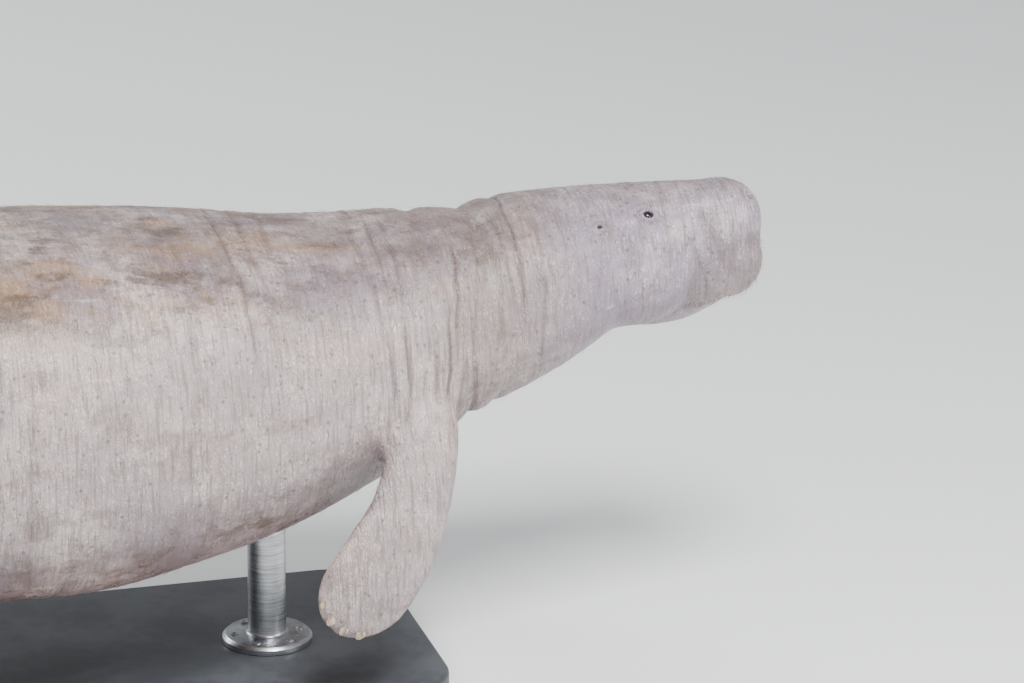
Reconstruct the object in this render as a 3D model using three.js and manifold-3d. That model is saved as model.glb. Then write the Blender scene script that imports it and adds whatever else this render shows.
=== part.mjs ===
// A life-size model of a manatee at the surface, breathing, on a low display stand.
// Units are millimetres. +X points to the muzzle, +Y to the animal's left and +Z up.
// The origin is the centre of the stand's underside.
// Heights on the animal are given from the waterline, and lengths from the tip of the muzzle backwards.

import * as THREE from 'three';
import { mergeVertices } from 'three/addons/utils/BufferGeometryUtils.js';
import Module from 'manifold-3d';

const wasm = await Module();
wasm.setup();

// Driving sizes
const BODY_LENGTH = 3000;
const MUZZLE_X = 1500;
const WATERLINE_Z = 800;
const GAP = 0.3;
const RING_POINTS = 40;

// The muzzle and the tail paddle end in rounded ends of these lengths.
const MUZZLE_ROUNDING = 62;
const PADDLE_ROUNDING = 340;
const PADDLE_EDGE_ROUNDING = 45;

// The tail hangs by this much at its tip, from this place backwards.
const DROOP_START = 1500;
const TAIL_DROOP = 150;

// Profile lines of the body: [distance behind the muzzle, value].
const BACK_LINE = [
  [0, 13], [60, 27], [120, 30], [220, 34], [330, 36], [430, 33], [490, 27], [514, 19], [533, 9], [552, 13],
  [600, 17], [660, 18], [750, 15], [840, 17], [930, 27], [1020, 39], [1200, 52], [1400, 60], [1560, 56],
  [1750, 37], [1950, -4], [2120, -54], [2300, -112], [2500, -165], [2750, -212], [3000, -245],
];
const BELLY_LINE = [
  [0, -112], [60, -128], [120, -138], [200, -160], [280, -205], [350, -250], [430, -292], [500, -322],
  [560, -348], [650, -398], [750, -448], [900, -510], [1050, -551], [1250, -578], [1400, -580], [1600, -560],
  [1800, -515], [2000, -452], [2150, -400], [2300, -352], [2400, -322], [2550, -298], [2750, -283],
  [3000, -273],
];
const HALF_WIDTH = [
  [0, 66], [40, 80], [90, 94], [150, 104], [220, 121], [300, 146], [400, 173], [500, 192], [547, 198],
  [600, 216], [700, 262], [850, 310], [1000, 342], [1200, 366], [1350, 375], [1500, 370], [1700, 344],
  [1850, 310], [2000, 266], [2150, 216], [2260, 186], [2340, 178], [2420, 196], [2520, 245], [2620, 288],
  [2720, 312], [2800, 320], [3000, 322],
];
// Height of the widest place, as a share of the height of the section.
const WIDEST_AT = [
  [0, 0.5], [150, 0.42], [300, 0.4], [500, 0.44], [800, 0.48], [1400, 0.47], [2300, 0.5], [3000, 0.5],
];
// Squareness of the section: 2 is an ellipse, less is a lens and more is boxy.
const SQUARENESS = [
  [0, 2.4], [150, 2.2], [300, 2.1], [1000, 2.2], [1300, 2.5], [1700, 2.3], [2300, 2], [2500, 1.75],
  [3000, 1.6],
];
// Step from one ring of the surface to the next.
const RING_STEP = [
  [120, 20], [490, 20], [512, 14], [580, 14], [640, 34], [900, 84], [2180, 70], [2230, 34], [2330, 34],
  [2500, 70], [2700, 60], [2960, 14], [3000, 6],
];

// Folds in the skin, as grooves that run round the body.
const FOLDS = [
  { at: 474, slant: 22, depth: 5, width: 12 },
  { at: 626, slant: -34, depth: 7, width: 16 },
  { at: 2235, slant: 10, depth: 6, width: 24 },
  { at: 2310, slant: 6, depth: 5, width: 20 },
];

// Fleshy lobes of the head, as ellipsoids: centre and radii, each [backwards, sideways, up].
// Those of the skull side melt into the trunk over a width of LOBE_BLEND.
const SNOUT = { centre: [60, 0, -26], radii: [58, 80, 50] };
const LIP_PAD = { centre: [68, 46, -98], radii: [60, 54, 68] };
const REAR_LIP = { centre: [132, 60, -118], radii: [76, 46, 50] };
const CHEEK = { centre: [252, 66, -112], radii: [118, 70, 84] };
const LOWER_LIP = { centre: [104, 0, -158], radii: [52, 56, 34] };
const JAW = { centre: [200, 0, -158], radii: [132, 88, 60] };
const LOBE_BLEND = 18;

// The rings of the muzzle fan out from one centre, this far behind its tip. The lobes end before HEAD_END.
const MUZZLE_CENTRE = 130;
const MUZZLE_RINGS = 11;
const HEAD_END = 430;

// Eyes, ears and nostrils
const EYE = { behind: 225, height: 8, radius: 12, sunk: 8, lidRing: 12.5, lidThickness: 5 };
const EAR = { behind: 318, height: 1, radius: 5, depth: 12 };
const NOSTRIL = { centre: [26, 32, 12], radii: [18, 14, 10] };

// Flippers: a chain of stretches from inside the shoulder to the tip, and the outline along it.
const SHOULDER = { behind: 668, side: 150, height: -215 };
const FLIPPER_STRETCHES = [
  { length: 150, outward: 48, backward: 4 },
  { length: 125, outward: 26, backward: 14 },
  { length: 120, outward: 10, backward: 28 },
  { length: 125, outward: -8, backward: 36 },
];
const FLIPPER_LEADING = [[0, 66], [0.3, 64], [0.5, 62], [0.7, 72], [0.85, 74], [1, 70]];
const FLIPPER_TRAILING = [[0, 66], [0.3, 66], [0.5, 74], [0.7, 86], [0.85, 84], [1, 76]];
const FLIPPER_THICKNESS = [[0, 50], [0.3, 44], [0.5, 35], [0.7, 26], [0.9, 16], [1, 12]];
const FLIPPER_LENGTH = FLIPPER_STRETCHES.reduce((sum, stretch) => sum + stretch.length, 0);
const FLIPPER_TIP_ROUNDING = 0.2;
const FLIPPER_TIP_POWER = 2.2;
const FLIPPER_RINGS = 18;
const FLIPPER_RING_POINTS = 22;
const FLIPPER_POSES = {
  right: { side: -1, backward: 4, outward: 0 },
  left: { side: 1, backward: -8, outward: 5 },
};
const NAILS = [-0.58, -0.2, 0.18, 0.56];
const NAIL = { radii: [11, 8, 4], inset: 13 };

// Display stand
const BASE = { length: 1760, width: 620, thickness: 45, corner: 120, bevel: 6 };
const ROD = { radius: 34, foot: 80, footHeight: 16, sides: 24 };
const ROD_PLACES = { front: 900, rear: 1830 };

// Cuts that part the body, from the muzzle backwards: place at the waterline and lean from upright.
const CUTS = [
  { at: 150, lean: -12 },
  { at: 552, lean: -10 },
  { at: 645, lean: -7 },
  { at: 1080, lean: 0 },
  { at: 1660, lean: 0 },
  { at: 2290, lean: 0 },
];
const BODY_PARTS = ['muzzle', 'head', 'neck', 'chest', 'abdomen', 'tail_stock', 'tail_paddle'];

const SKIN = new THREE.MeshStandardMaterial({ color: 0x8b8079, roughness: 0.42, metalness: 0 });
const EYE_FINISH = new THREE.MeshStandardMaterial({ color: 0x14100e, roughness: 0.08, metalness: 0 });
const NAIL_FINISH = new THREE.MeshStandardMaterial({ color: 0xb9a994, roughness: 0.4, metalness: 0 });
const BASE_FINISH = new THREE.MeshStandardMaterial({ color: 0x33363a, roughness: 0.55, metalness: 0 });
const ROD_FINISH = new THREE.MeshStandardMaterial({ color: 0x9aa0a6, roughness: 0.3, metalness: 1 });

// How far from a centre the head's surface is looked for, and the steps of that search.
const REACH = 260;
const MARCH_STEP = 5;
const MARCH_HALVINGS = 12;

const rad = THREE.MathUtils.degToRad;

// Value of a profile line at a place, on a smooth curve that never overshoots its points.
function along(line, place) {
  const last = line.length - 1;
  if (place <= line[0][0]) return line[0][1];
  if (place >= line[last][0]) return line[last][1];
  const slope = (i) => (line[i + 1][1] - line[i][1]) / (line[i + 1][0] - line[i][0]);
  const tangent = (i) => {
    if (i === 0) return slope(0);
    if (i === last) return slope(last - 1);
    const before = slope(i - 1);
    const after = slope(i);
    return before * after <= 0 ? 0 : (2 * before * after) / (before + after);
  };
  const i = line.findIndex(([at]) => at > place) - 1;
  const width = line[i + 1][0] - line[i][0];
  const t = (place - line[i][0]) / width;
  return (
    line[i][1] * (1 + 2 * t) * (1 - t) ** 2 + width * tangent(i) * t * (1 - t) ** 2 +
    line[i + 1][1] * t * t * (3 - 2 * t) + width * tangent(i + 1) * t * t * (t - 1)
  );
}

// Share of the full size left at a distance from a rounded end.
function roundedEnd(distance, rounding, power = 2) {
  const t = 1 - Math.min(Math.max(distance / rounding, 0), 1);
  return (1 - t ** power) ** (1 / power);
}

// A place on the animal in the model's frame.
function place(behind, side, height) {
  return new THREE.Vector3(MUZZLE_X - behind, side, WATERLINE_Z + height);
}

function droop(behind) {
  return behind < DROOP_START ? 0 : TAIL_DROOP * ((behind - DROOP_START) / (BODY_LENGTH - DROOP_START)) ** 2;
}

// Sizes of the body's section at a place: the height of its widest line, and its reach sideways, up and down.
function section(behind) {
  const back = along(BACK_LINE, behind);
  const belly = along(BELLY_LINE, behind);
  const widest = belly + along(WIDEST_AT, behind) * (back - belly);
  const muzzle = roundedEnd(behind, MUZZLE_ROUNDING, 2.3);
  const end = BODY_LENGTH - behind;
  const edge = muzzle * roundedEnd(end, PADDLE_EDGE_ROUNDING);
  return {
    height: widest - droop(behind),
    half: along(HALF_WIDTH, behind) * muzzle * roundedEnd(end, PADDLE_ROUNDING, 2.1),
    up: (back - widest) * edge,
    down: (widest - belly) * edge,
    squareness: along(SQUARENESS, behind),
  };
}

// Depth of the skin folds at a place, where up is 1 on the back and -1 on the belly.
function foldDepth(behind, up) {
  return FOLDS.reduce((depth, fold) => {
    const distance = (behind - fold.at - fold.slant * (1 - up)) / fold.width;
    return depth + fold.depth * Math.exp(-distance * distance);
  }, 0);
}

// A point of the body's surface, at an angle that turns from the left flank up over the back.
function bodyPoint(behind, angle) {
  const { height, half, up, down, squareness } = section(behind);
  const [c, s] = [Math.cos(angle), Math.sin(angle)];
  const depth = Math.min(foldDepth(behind, s), half * 0.3);
  const power = 2 / squareness;
  const side = Math.sign(c) * Math.abs(c) ** power * (half - depth);
  const rise = Math.sign(s) * Math.abs(s) ** power * ((s > 0 ? up : down) - depth);
  return place(behind, side, height + rise);
}

// The point of the body's surface at a height, on one side.
function bodyPointAt(behind, height, side) {
  const sizes = section(behind);
  const rise = height - sizes.height;
  const share = Math.abs(rise) / (rise > 0 ? sizes.up : sizes.down);
  const angle = Math.asin(share ** (sizes.squareness / 2)) * Math.sign(rise);
  return bodyPoint(behind, side > 0 ? angle : Math.PI - angle);
}

function bodyNormalAt(behind, height, side) {
  const step = 4;
  const lengthwise = bodyPointAt(behind + step, height, side).sub(bodyPointAt(behind - step, height, side));
  const upward = bodyPointAt(behind, height + step, side).sub(bodyPointAt(behind, height - step, side));
  return lengthwise.cross(upward).multiplyScalar(side).normalize();
}

// Distance of a point from the trunk, and from a lobe, both less than zero inside.
function trunkDistance(point) {
  const behind = MUZZLE_X - point.x;
  if (behind <= 1) return REACH;
  const { height, half, up, down, squareness } = section(behind);
  const rise = point.z - WATERLINE_Z - height;
  const tall = rise > 0 ? up : down;
  const across = (Math.abs(point.y) / half) ** (squareness / 2);
  const upright = (Math.abs(rise) / tall) ** (squareness / 2);
  const share = Math.hypot(across, upright);
  return (share ** (2 / squareness) - 1) * Math.min(half, tall);
}

function lobeDistance(point, { centre, radii }, side) {
  const [behind, sideways, height] = centre;
  const size = new THREE.Vector3(...radii);
  const offset = point.clone().sub(place(behind, side * sideways, height)).divide(size);
  const share = offset.length();
  return (share * (share - 1)) / offset.divide(size).length();
}

// Distance of a point from the head, where the lobes melt into the trunk and into one another.
function headDistance(point) {
  const distances = [trunkDistance(point), lobeDistance(point, SNOUT, 0)];
  for (const side of [-1, 1]) {
    for (const lobe of [LIP_PAD, REAR_LIP, CHEEK]) distances.push(lobeDistance(point, lobe, side));
  }
  return distances.reduce((a, b) => {
    const near = Math.max(LOBE_BLEND - Math.abs(a - b), 0);
    return Math.min(a, b) - near ** 2 / (4 * LOBE_BLEND);
  });
}

// The head's surface in one direction from a centre inside it, met from outside.
function headPoint(centre, direction, start = REACH) {
  const at = (distance) => centre.clone().addScaledVector(direction, distance);
  let outside = start;
  while (headDistance(at(outside - MARCH_STEP)) > 0) outside -= MARCH_STEP;
  let inside = outside - MARCH_STEP;
  for (let i = 0; i < MARCH_HALVINGS; i += 1) {
    const middle = (outside + inside) / 2;
    if (headDistance(at(middle)) > 0) outside = middle;
    else inside = middle;
  }
  return at((outside + inside) / 2);
}

// A closed surface through rings of points, with a single point at each end.
function loft(start, rings, end) {
  const count = rings[0].length;
  const points = [start, ...rings.flat(), end];
  const faces = [];
  const at = (ring, i) => 1 + ring * count + (i % count);
  for (let i = 0; i < count; i += 1) {
    faces.push(0, at(0, i), at(0, i + 1));
    faces.push(points.length - 1, at(rings.length - 1, i + 1), at(rings.length - 1, i));
    for (let ring = 0; ring + 1 < rings.length; ring += 1) {
      faces.push(at(ring, i), at(ring + 1, i), at(ring, i + 1));
      faces.push(at(ring, i + 1), at(ring + 1, i), at(ring + 1, i + 1));
    }
  }
  const geometry = new THREE.BufferGeometry().setFromPoints(points);
  geometry.setIndex(faces);
  return geometry;
}

// A closed geometry as a solid that can be joined and cut.
function solidOf(geometry) {
  const bare = geometry.clone();
  bare.deleteAttribute('normal');
  bare.deleteAttribute('uv');
  const merged = mergeVertices(bare, 1e-3);
  const vertProperties = new Float32Array(merged.attributes.position.array);
  const triVerts = new Uint32Array(merged.index.array);
  const made = new wasm.Manifold(new wasm.Mesh({ numProp: 3, vertProperties, triVerts }));
  if (made.volume() > 0) return made;
  const turned = triVerts.slice();
  for (let i = 0; i < turned.length; i += 3) [turned[i + 1], turned[i + 2]] = [turned[i + 2], turned[i + 1]];
  return new wasm.Manifold(new wasm.Mesh({ numProp: 3, vertProperties, triVerts: turned }));
}

function geometryOf(solid) {
  const { numProp, vertProperties, triVerts } = solid.getMesh();
  const geometry = new THREE.BufferGeometry();
  const positions = new Float32Array((vertProperties.length / numProp) * 3);
  for (let i = 0; i * 3 < positions.length; i += 1) {
    for (let k = 0; k < 3; k += 1) positions[i * 3 + k] = vertProperties[i * numProp + k];
  }
  geometry.setAttribute('position', new THREE.BufferAttribute(positions, 3));
  geometry.setIndex(new THREE.BufferAttribute(new Uint32Array(triVerts), 1));
  return mergeVertices(geometry, 1e-3);
}

function largest(solid) {
  return solid.decompose().reduce((best, piece) => (piece.volume() > best.volume() ? piece : best));
}

// The solid with its surface moved out by a small distance, to cut neighbours clear of it.
function grown(solid, distance = GAP) {
  const geometry = geometryOf(solid);
  geometry.computeVertexNormals();
  const { position, normal } = geometry.attributes;
  for (let i = 0; i < position.count; i += 1) {
    position.setXYZ(
      i,
      position.getX(i) + normal.getX(i) * distance,
      position.getY(i) + normal.getY(i) * distance,
      position.getZ(i) + normal.getZ(i) * distance,
    );
  }
  return solidOf(geometry);
}

function ellipsoid({ centre, radii }, side = 1, [around, down] = [22, 14]) {
  const [behind, sideways, height] = centre;
  const geometry = new THREE.SphereGeometry(1, around, down);
  geometry.scale(...radii);
  const at = place(behind, side * sideways, height);
  geometry.translate(at.x, at.y, at.z);
  return solidOf(geometry);
}

// A geometry made about the origin, turned so that its Z axis lies along a direction, and moved to a point.
function setOn(geometry, point, direction) {
  const turn = new THREE.Quaternion().setFromUnitVectors(new THREE.Vector3(0, 0, 1), direction);
  geometry.applyQuaternion(turn);
  geometry.translate(point.x, point.y, point.z);
  return solidOf(geometry);
}

function union(solids) {
  return solids.reduce((sum, solid) => sum.add(solid));
}

// The body's surface with the head's lobes, in rings from the tip of the muzzle to the end of the paddle.
function bodyLoft() {
  const angles = Array.from({ length: RING_POINTS }, (_, i) => (i / RING_POINTS) * 2 * Math.PI);
  const forward = new THREE.Vector3(1, 0, 0);
  const middleOf = (behind) => place(behind, 0, section(behind).height);
  const muzzle = middleOf(MUZZLE_CENTRE);
  const rings = [];
  for (let ring = 1; ring < MUZZLE_RINGS; ring += 1) {
    const tilt = (1 - ring / MUZZLE_RINGS) * (Math.PI / 2);
    rings.push(
      angles.map((angle) => {
        const outward = bodyPoint(MUZZLE_CENTRE, angle).sub(muzzle).setLength(Math.cos(tilt));
        return headPoint(muzzle, outward.addScaledVector(forward, Math.sin(tilt)));
      }),
    );
  }
  for (let behind = MUZZLE_CENTRE; behind < BODY_LENGTH - 1; behind += along(RING_STEP, behind)) {
    const middle = middleOf(behind);
    rings.push(
      angles.map((angle) => {
        const point = bodyPoint(behind, angle);
        return behind < HEAD_END ? headPoint(middle, point.sub(middle).normalize()) : point;
      }),
    );
  }
  const { height: paddleHeight } = section(BODY_LENGTH);
  return solidOf(loft(headPoint(muzzle, forward), rings, place(BODY_LENGTH, 0, paddleHeight)));
}

// The centre of an eyeball, sunk below the surface of the head.
function eyeCentre(side) {
  const surface = bodyPointAt(EYE.behind, EYE.height, side);
  return surface.addScaledVector(bodyNormalAt(EYE.behind, EYE.height, side), -EYE.sunk);
}

function eyelid(side) {
  const ring = new THREE.TorusGeometry(EYE.lidRing, EYE.lidThickness, 6, 16);
  const normal = bodyNormalAt(EYE.behind, EYE.height, side);
  return setOn(ring, bodyPointAt(EYE.behind, EYE.height, side), normal);
}

function eyeball(side, extra = 0) {
  const ball = new THREE.SphereGeometry(EYE.radius + extra, 12, 8);
  return setOn(ball, eyeCentre(side), bodyNormalAt(EYE.behind, EYE.height, side));
}

function earPit(side) {
  const pit = new THREE.SphereGeometry(EAR.radius, 8, 6);
  pit.scale(1, 1, EAR.depth / EAR.radius);
  return setOn(pit, bodyPointAt(EAR.behind, EAR.height, side), bodyNormalAt(EAR.behind, EAR.height, side));
}

// The whole body in one solid, with its lids, and with its eye sockets, ears and nostrils.
function wholeBody() {
  const flesh = [bodyLoft()];
  const hollows = [];
  for (const side of [-1, 1]) {
    flesh.push(eyelid(side));
    hollows.push(eyeball(side, GAP), earPit(side), ellipsoid(NOSTRIL, side, [12, 8]));
  }
  return largest(union(flesh).subtract(union(hollows)));
}

// The body's parts, from the muzzle to the tail paddle, parted by thin leaning cuts.
function partBody(body) {
  const blades = CUTS.map(({ at, lean }) => {
    const blade = new THREE.BoxGeometry(GAP, 1000, 2000);
    blade.rotateY(rad(lean));
    const middle = place(at, 0, 0);
    blade.translate(middle.x, middle.y, middle.z);
    return solidOf(blade);
  });
  const pieces = body
    .subtract(union(blades))
    .decompose()
    .map((solid) => ({ solid, front: solid.boundingBox().max[0] }))
    .filter(({ solid }) => solid.volume() > 1e5)
    .sort((a, b) => b.front - a.front);
  if (pieces.length !== BODY_PARTS.length) throw new Error(`the body came apart in ${pieces.length} pieces`);
  return pieces.map(({ solid }) => solid);
}

// Rings of a flipper, and its middle line.
function flipperForm({ side, backward, outward }) {
  const joints = [place(SHOULDER.behind, side * SHOULDER.side, SHOULDER.height)];
  for (const stretch of FLIPPER_STRETCHES) {
    const out = rad(stretch.outward + outward);
    const back = rad(stretch.backward + backward);
    const step = new THREE.Vector3(
      -Math.sin(back) * Math.cos(out),
      side * Math.sin(out),
      -Math.cos(back) * Math.cos(out),
    );
    joints.push(joints.at(-1).clone().addScaledVector(step, stretch.length));
  }
  const middle = new THREE.CatmullRomCurve3(joints);
  const outside = new THREE.Vector3(0, side, 0.2).normalize();
  const frameAt = (u) => {
    const tangent = middle.getTangentAt(u);
    const forward = new THREE.Vector3().crossVectors(tangent, outside).multiplyScalar(side).normalize();
    if (forward.x < 0) forward.negate();
    const face = new THREE.Vector3().crossVectors(forward, tangent).normalize();
    if (face.y * side < 0) face.negate();
    return { origin: middle.getPointAt(u), forward, face };
  };
  const surface = (u, angle) => {
    const { origin, forward, face } = frameAt(u);
    const rounded = roundedEnd(1 - u, FLIPPER_TIP_ROUNDING, FLIPPER_TIP_POWER);
    const [c, s] = [Math.cos(angle), Math.sin(angle)];
    const reach = along(c > 0 ? FLIPPER_LEADING : FLIPPER_TRAILING, u) * rounded;
    const thickness = along(FLIPPER_THICKNESS, u) * roundedEnd(1 - u, FLIPPER_TIP_ROUNDING / 3);
    return origin.addScaledVector(forward, c * reach).addScaledVector(face, s * thickness);
  };
  return { frameAt, surface };
}

function flipper(form, body) {
  const rings = [];
  for (let k = 0; k < FLIPPER_RINGS; k += 1) {
    const u = Math.sin((k / FLIPPER_RINGS) * (Math.PI / 2)) ** 1.15;
    rings.push(
      Array.from({ length: FLIPPER_RING_POINTS }, (_, i) =>
        form.surface(u, (i / FLIPPER_RING_POINTS) * 2 * Math.PI),
      ),
    );
  }
  const whole = solidOf(loft(form.frameAt(0).origin, rings, form.frameAt(1).origin));
  return largest(whole.subtract(body));
}

// A nail on the outer face of a flipper, near its edge. across is -1 at the trailing and 1 at the
// leading side.
function nail(form, across, blade) {
  const toEdge = (1 - Math.abs(across) ** FLIPPER_TIP_POWER) ** (1 / FLIPPER_TIP_POWER);
  const u = 1 - FLIPPER_TIP_ROUNDING * (1 - toEdge) - NAIL.inset / FLIPPER_LENGTH;
  const angle = Math.acos(across / roundedEnd(1 - u, FLIPPER_TIP_ROUNDING, FLIPPER_TIP_POWER));
  const point = form.surface(u, angle);
  const { forward, face } = form.frameAt(u);
  const lengthwise = new THREE.Vector3().crossVectors(forward, face);
  const ball = new THREE.SphereGeometry(1, 8, 6);
  ball.scale(...NAIL.radii);
  ball.applyMatrix4(new THREE.Matrix4().makeBasis(lengthwise, forward, face));
  ball.translate(point.x, point.y, point.z);
  return largest(solidOf(ball).subtract(blade));
}

function lowerJaw(body) {
  const jaw = union([ellipsoid(LOWER_LIP), ellipsoid(JAW, 1, [24, 14])]);
  return largest(jaw.subtract(body));
}

// A flat plate with rounded corners and a small bevel round its top and bottom edges.
function standBase() {
  const { length, width, thickness, corner, bevel } = BASE;
  const [x, y] = [length / 2 - bevel, width / 2 - bevel];
  const outline = new THREE.Shape();
  outline.moveTo(x - corner, -y);
  outline.absarc(x - corner, -y + corner, corner, -Math.PI / 2, 0);
  outline.absarc(x - corner, y - corner, corner, 0, Math.PI / 2);
  outline.absarc(-x + corner, y - corner, corner, Math.PI / 2, Math.PI);
  outline.absarc(-x + corner, -y + corner, corner, Math.PI, Math.PI * 1.5);
  const plate = new THREE.ExtrudeGeometry(outline, {
    depth: thickness - 2 * bevel,
    bevelSize: bevel,
    bevelThickness: bevel,
    bevelSegments: 1,
    curveSegments: 8,
  });
  plate.translate(0, 0, bevel);
  return plate;
}

// A rod with a round foot, cut to the shape of the belly that it carries.
function standRod(behind, body) {
  const { radius, foot, footHeight, sides } = ROD;
  const tall = WATERLINE_Z - BASE.thickness + along(BELLY_LINE, behind) + 2 * radius;
  const profile = [
    [0, 0], [foot, 0], [foot, footHeight * 0.6], [foot - footHeight * 0.4, footHeight], [radius, footHeight],
    [radius, tall], [0, tall],
  ].map(([r, z]) => new THREE.Vector2(r, z));
  const rod = new THREE.LatheGeometry(profile, sides);
  rod.rotateX(Math.PI / 2);
  rod.translate(MUZZLE_X - behind, 0, BASE.thickness + GAP);
  return largest(solidOf(rod).subtract(body));
}

const model = new THREE.Group();

function addNode(name, geometry, material) {
  const mesh = new THREE.Mesh(geometry, material);
  mesh.name = name;
  model.add(mesh);
}

const body = wholeBody();
const clearance = grown(body);

partBody(body).forEach((solid, i) => addNode(BODY_PARTS[i], geometryOf(solid), SKIN));
addNode('lower_jaw', geometryOf(lowerJaw(clearance)), SKIN);

for (const [name, pose] of Object.entries(FLIPPER_POSES)) {
  addNode(`eye_${name}`, geometryOf(eyeball(pose.side)), EYE_FINISH);
  const form = flipperForm(pose);
  const limb = flipper(form, clearance);
  addNode(`flipper_${name}`, geometryOf(limb), SKIN);
  const blade = grown(limb);
  NAILS.forEach((across, i) => {
    addNode(`nail_${name}_${i + 1}`, geometryOf(nail(form, across, blade)), NAIL_FINISH);
  });
}

addNode('stand_base', standBase(), BASE_FINISH);
for (const [name, behind] of Object.entries(ROD_PLACES)) {
  addNode(`stand_rod_${name}`, geometryOf(standRod(behind, clearance)), ROD_FINISH);
}

export default model;
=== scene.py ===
"""A life-size museum model of a manatee that lifts its muzzle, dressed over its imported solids.

The animal's own sizes are in millimetres, as in the part's source: lengths run backwards from the tip of
the muzzle, and heights up from one level over the floor. Meshes are in metres, with +X to the muzzle and
+Y to the animal's left.
"""

from __future__ import annotations

import logging
import math
from collections.abc import Callable
from dataclasses import dataclass, field
from enum import Enum

import bmesh
import bpy
import numpy as np
from mathutils import Matrix, Vector, noise
from mathutils.bvhtree import BVHTree

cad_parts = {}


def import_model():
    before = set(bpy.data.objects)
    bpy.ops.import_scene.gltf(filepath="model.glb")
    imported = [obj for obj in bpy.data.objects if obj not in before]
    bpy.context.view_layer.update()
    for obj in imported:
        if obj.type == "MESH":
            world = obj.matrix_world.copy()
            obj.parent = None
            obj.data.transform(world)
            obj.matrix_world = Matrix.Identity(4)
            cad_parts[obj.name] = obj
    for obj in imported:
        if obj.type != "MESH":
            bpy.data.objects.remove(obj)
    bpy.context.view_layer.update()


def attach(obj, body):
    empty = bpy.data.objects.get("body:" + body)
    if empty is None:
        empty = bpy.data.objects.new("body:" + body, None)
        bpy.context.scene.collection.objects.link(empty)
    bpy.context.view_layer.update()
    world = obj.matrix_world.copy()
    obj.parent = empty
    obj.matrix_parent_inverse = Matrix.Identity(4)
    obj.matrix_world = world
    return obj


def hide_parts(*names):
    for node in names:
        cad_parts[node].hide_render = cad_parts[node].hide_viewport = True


LOG = logging.getLogger("manatee")
MM = 0.001
BODY_NODES = ("muzzle", "head", "neck", "chest", "abdomen", "tail_stock", "tail_paddle", "lower_jaw")
# No shell that is searched reaches further than this from any of its points, in millimetres.
SHELL_SPAN = 900

Line = tuple[tuple[float, float], ...]
Colour = tuple[float, float, float, float]
Triple = tuple[float, float, float]
Array = np.ndarray
Finish = bpy.types.Material
Mesh = bpy.types.Mesh
Node = bpy.types.Node
Piece = bpy.types.Object
Socket = bpy.types.NodeSocket
Sockets = bpy.types.bpy_prop_collection
Tree = bpy.types.NodeTree


class Side(Enum):
    """The two sides of the animal, by the sign of their Y."""

    RIGHT = -1
    LEFT = 1

    @property
    def word(self) -> str:
        """The side as the nodes name it."""
        return self.name.lower()


def srgb(red: int, green: int, blue: int) -> Colour:
    """Turn a screen colour into the linear colour that the shaders use.

    Args:
        red: Red from 0 to 255.
        green: Green from 0 to 255.
        blue: Blue from 0 to 255.

    Returns:
        The linear colour with full alpha.
    """
    shares = [value / 255 for value in (red, green, blue)]
    linear = [s / 12.92 if s <= 0.04045 else ((s + 0.055) / 1.055) ** 2.4 for s in shares]
    return (linear[0], linear[1], linear[2], 1.0)


def along(line: Line, place: Array) -> Array:
    """Read a profile line at some places, on a smooth curve that never overshoots its points.

    Args:
        line: Pairs of place and value, in order.
        place: Places to read.

    Returns:
        The value at each place.
    """
    at, value = np.array(line, float).T
    width = np.diff(at)
    slope = np.diff(value) / width
    before, after = slope[:-1], slope[1:]
    both = before + after
    safe = np.where(both == 0, 1, both)
    inner = np.where(before * after <= 0, 0, 2 * before * after / safe)
    tangent = np.concatenate([slope[:1], inner, slope[-1:]])
    place = np.clip(np.asarray(place, float), at[0], at[-1])
    i = np.clip(np.searchsorted(at, place, side="right") - 1, 0, len(at) - 2)
    t = (place - at[i]) / width[i]
    start = value[i] * (1 + 2 * t) * (1 - t) ** 2 + width[i] * tangent[i] * t * (1 - t) ** 2
    return start + value[i + 1] * t * t * (3 - 2 * t) + width[i] * tangent[i + 1] * t * t * (t - 1)


def rounded_end(distance: Array, rounding: float, power: float = 2) -> Array:
    """Give the share of the full size that is left at a distance from a rounded end.

    Args:
        distance: Distance from the end.
        rounding: Length over which the end is rounded.
        power: 2 for a round end, more for a blunt one.

    Returns:
        Shares from 0 to 1.
    """
    t = 1 - np.clip(np.asarray(distance, float) / rounding, 0, 1)
    return (1 - t**power) ** (1 / power)


def smoothstep(low: float, high: float, value: Array) -> Array:
    """Rise smoothly from 0 at low to 1 at high."""
    t = np.clip((value - low) / (high - low), 0, 1)
    return t * t * (3 - 2 * t)


def round_angles(count: int) -> Array:
    """Spread angles evenly over a full turn."""
    return np.arange(count) / count * 2 * math.pi


def pole_angles(count: int) -> Array:
    """Spread angles evenly from one pole to the other, without the poles."""
    return np.arange(1, count) / count * math.pi


def unit(vectors: Array) -> Array:
    """Scale vectors to length 1."""
    return vectors / np.maximum(np.linalg.norm(vectors, axis=-1, keepdims=True), 1e-9)


def noise_at(points: Array, wavelength: float | Triple, seed: float = 0) -> Array:
    """Read a smooth noise at some points.

    Args:
        points: Points in millimetres, one a row.
        wavelength: Size of the noise's blobs, one for all or one for each axis.
        seed: Shifts the noise to another place.

    Returns:
        Values from about -1 to 1.
    """
    scaled = points / np.broadcast_to(np.array(wavelength, float), 3) + seed * 17.31
    return np.array([noise.noise(Vector(p)) for p in scaled.tolist()])


@dataclass(frozen=True)
class Lobe:
    """A fleshy lobe of the head as an ellipsoid, each value as backwards, sideways and up.

    Attributes:
        centre: Place of its centre.
        radii: Its half sizes.
    """

    centre: Triple
    radii: Triple


@dataclass(frozen=True)
class Fold:
    """A fold that runs round the body as a groove.

    Attributes:
        at: Place on the back, behind the muzzle.
        slant: How much further back it lies at the flank.
        depth: Its depth.
        width: Its half width.
    """

    at: float
    slant: float
    depth: float
    width: float


@dataclass(frozen=True)
class Section:
    """Sizes of the body's sections at some places."""

    height: Array
    half: Array
    up: Array
    down: Array
    squareness: Array


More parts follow.
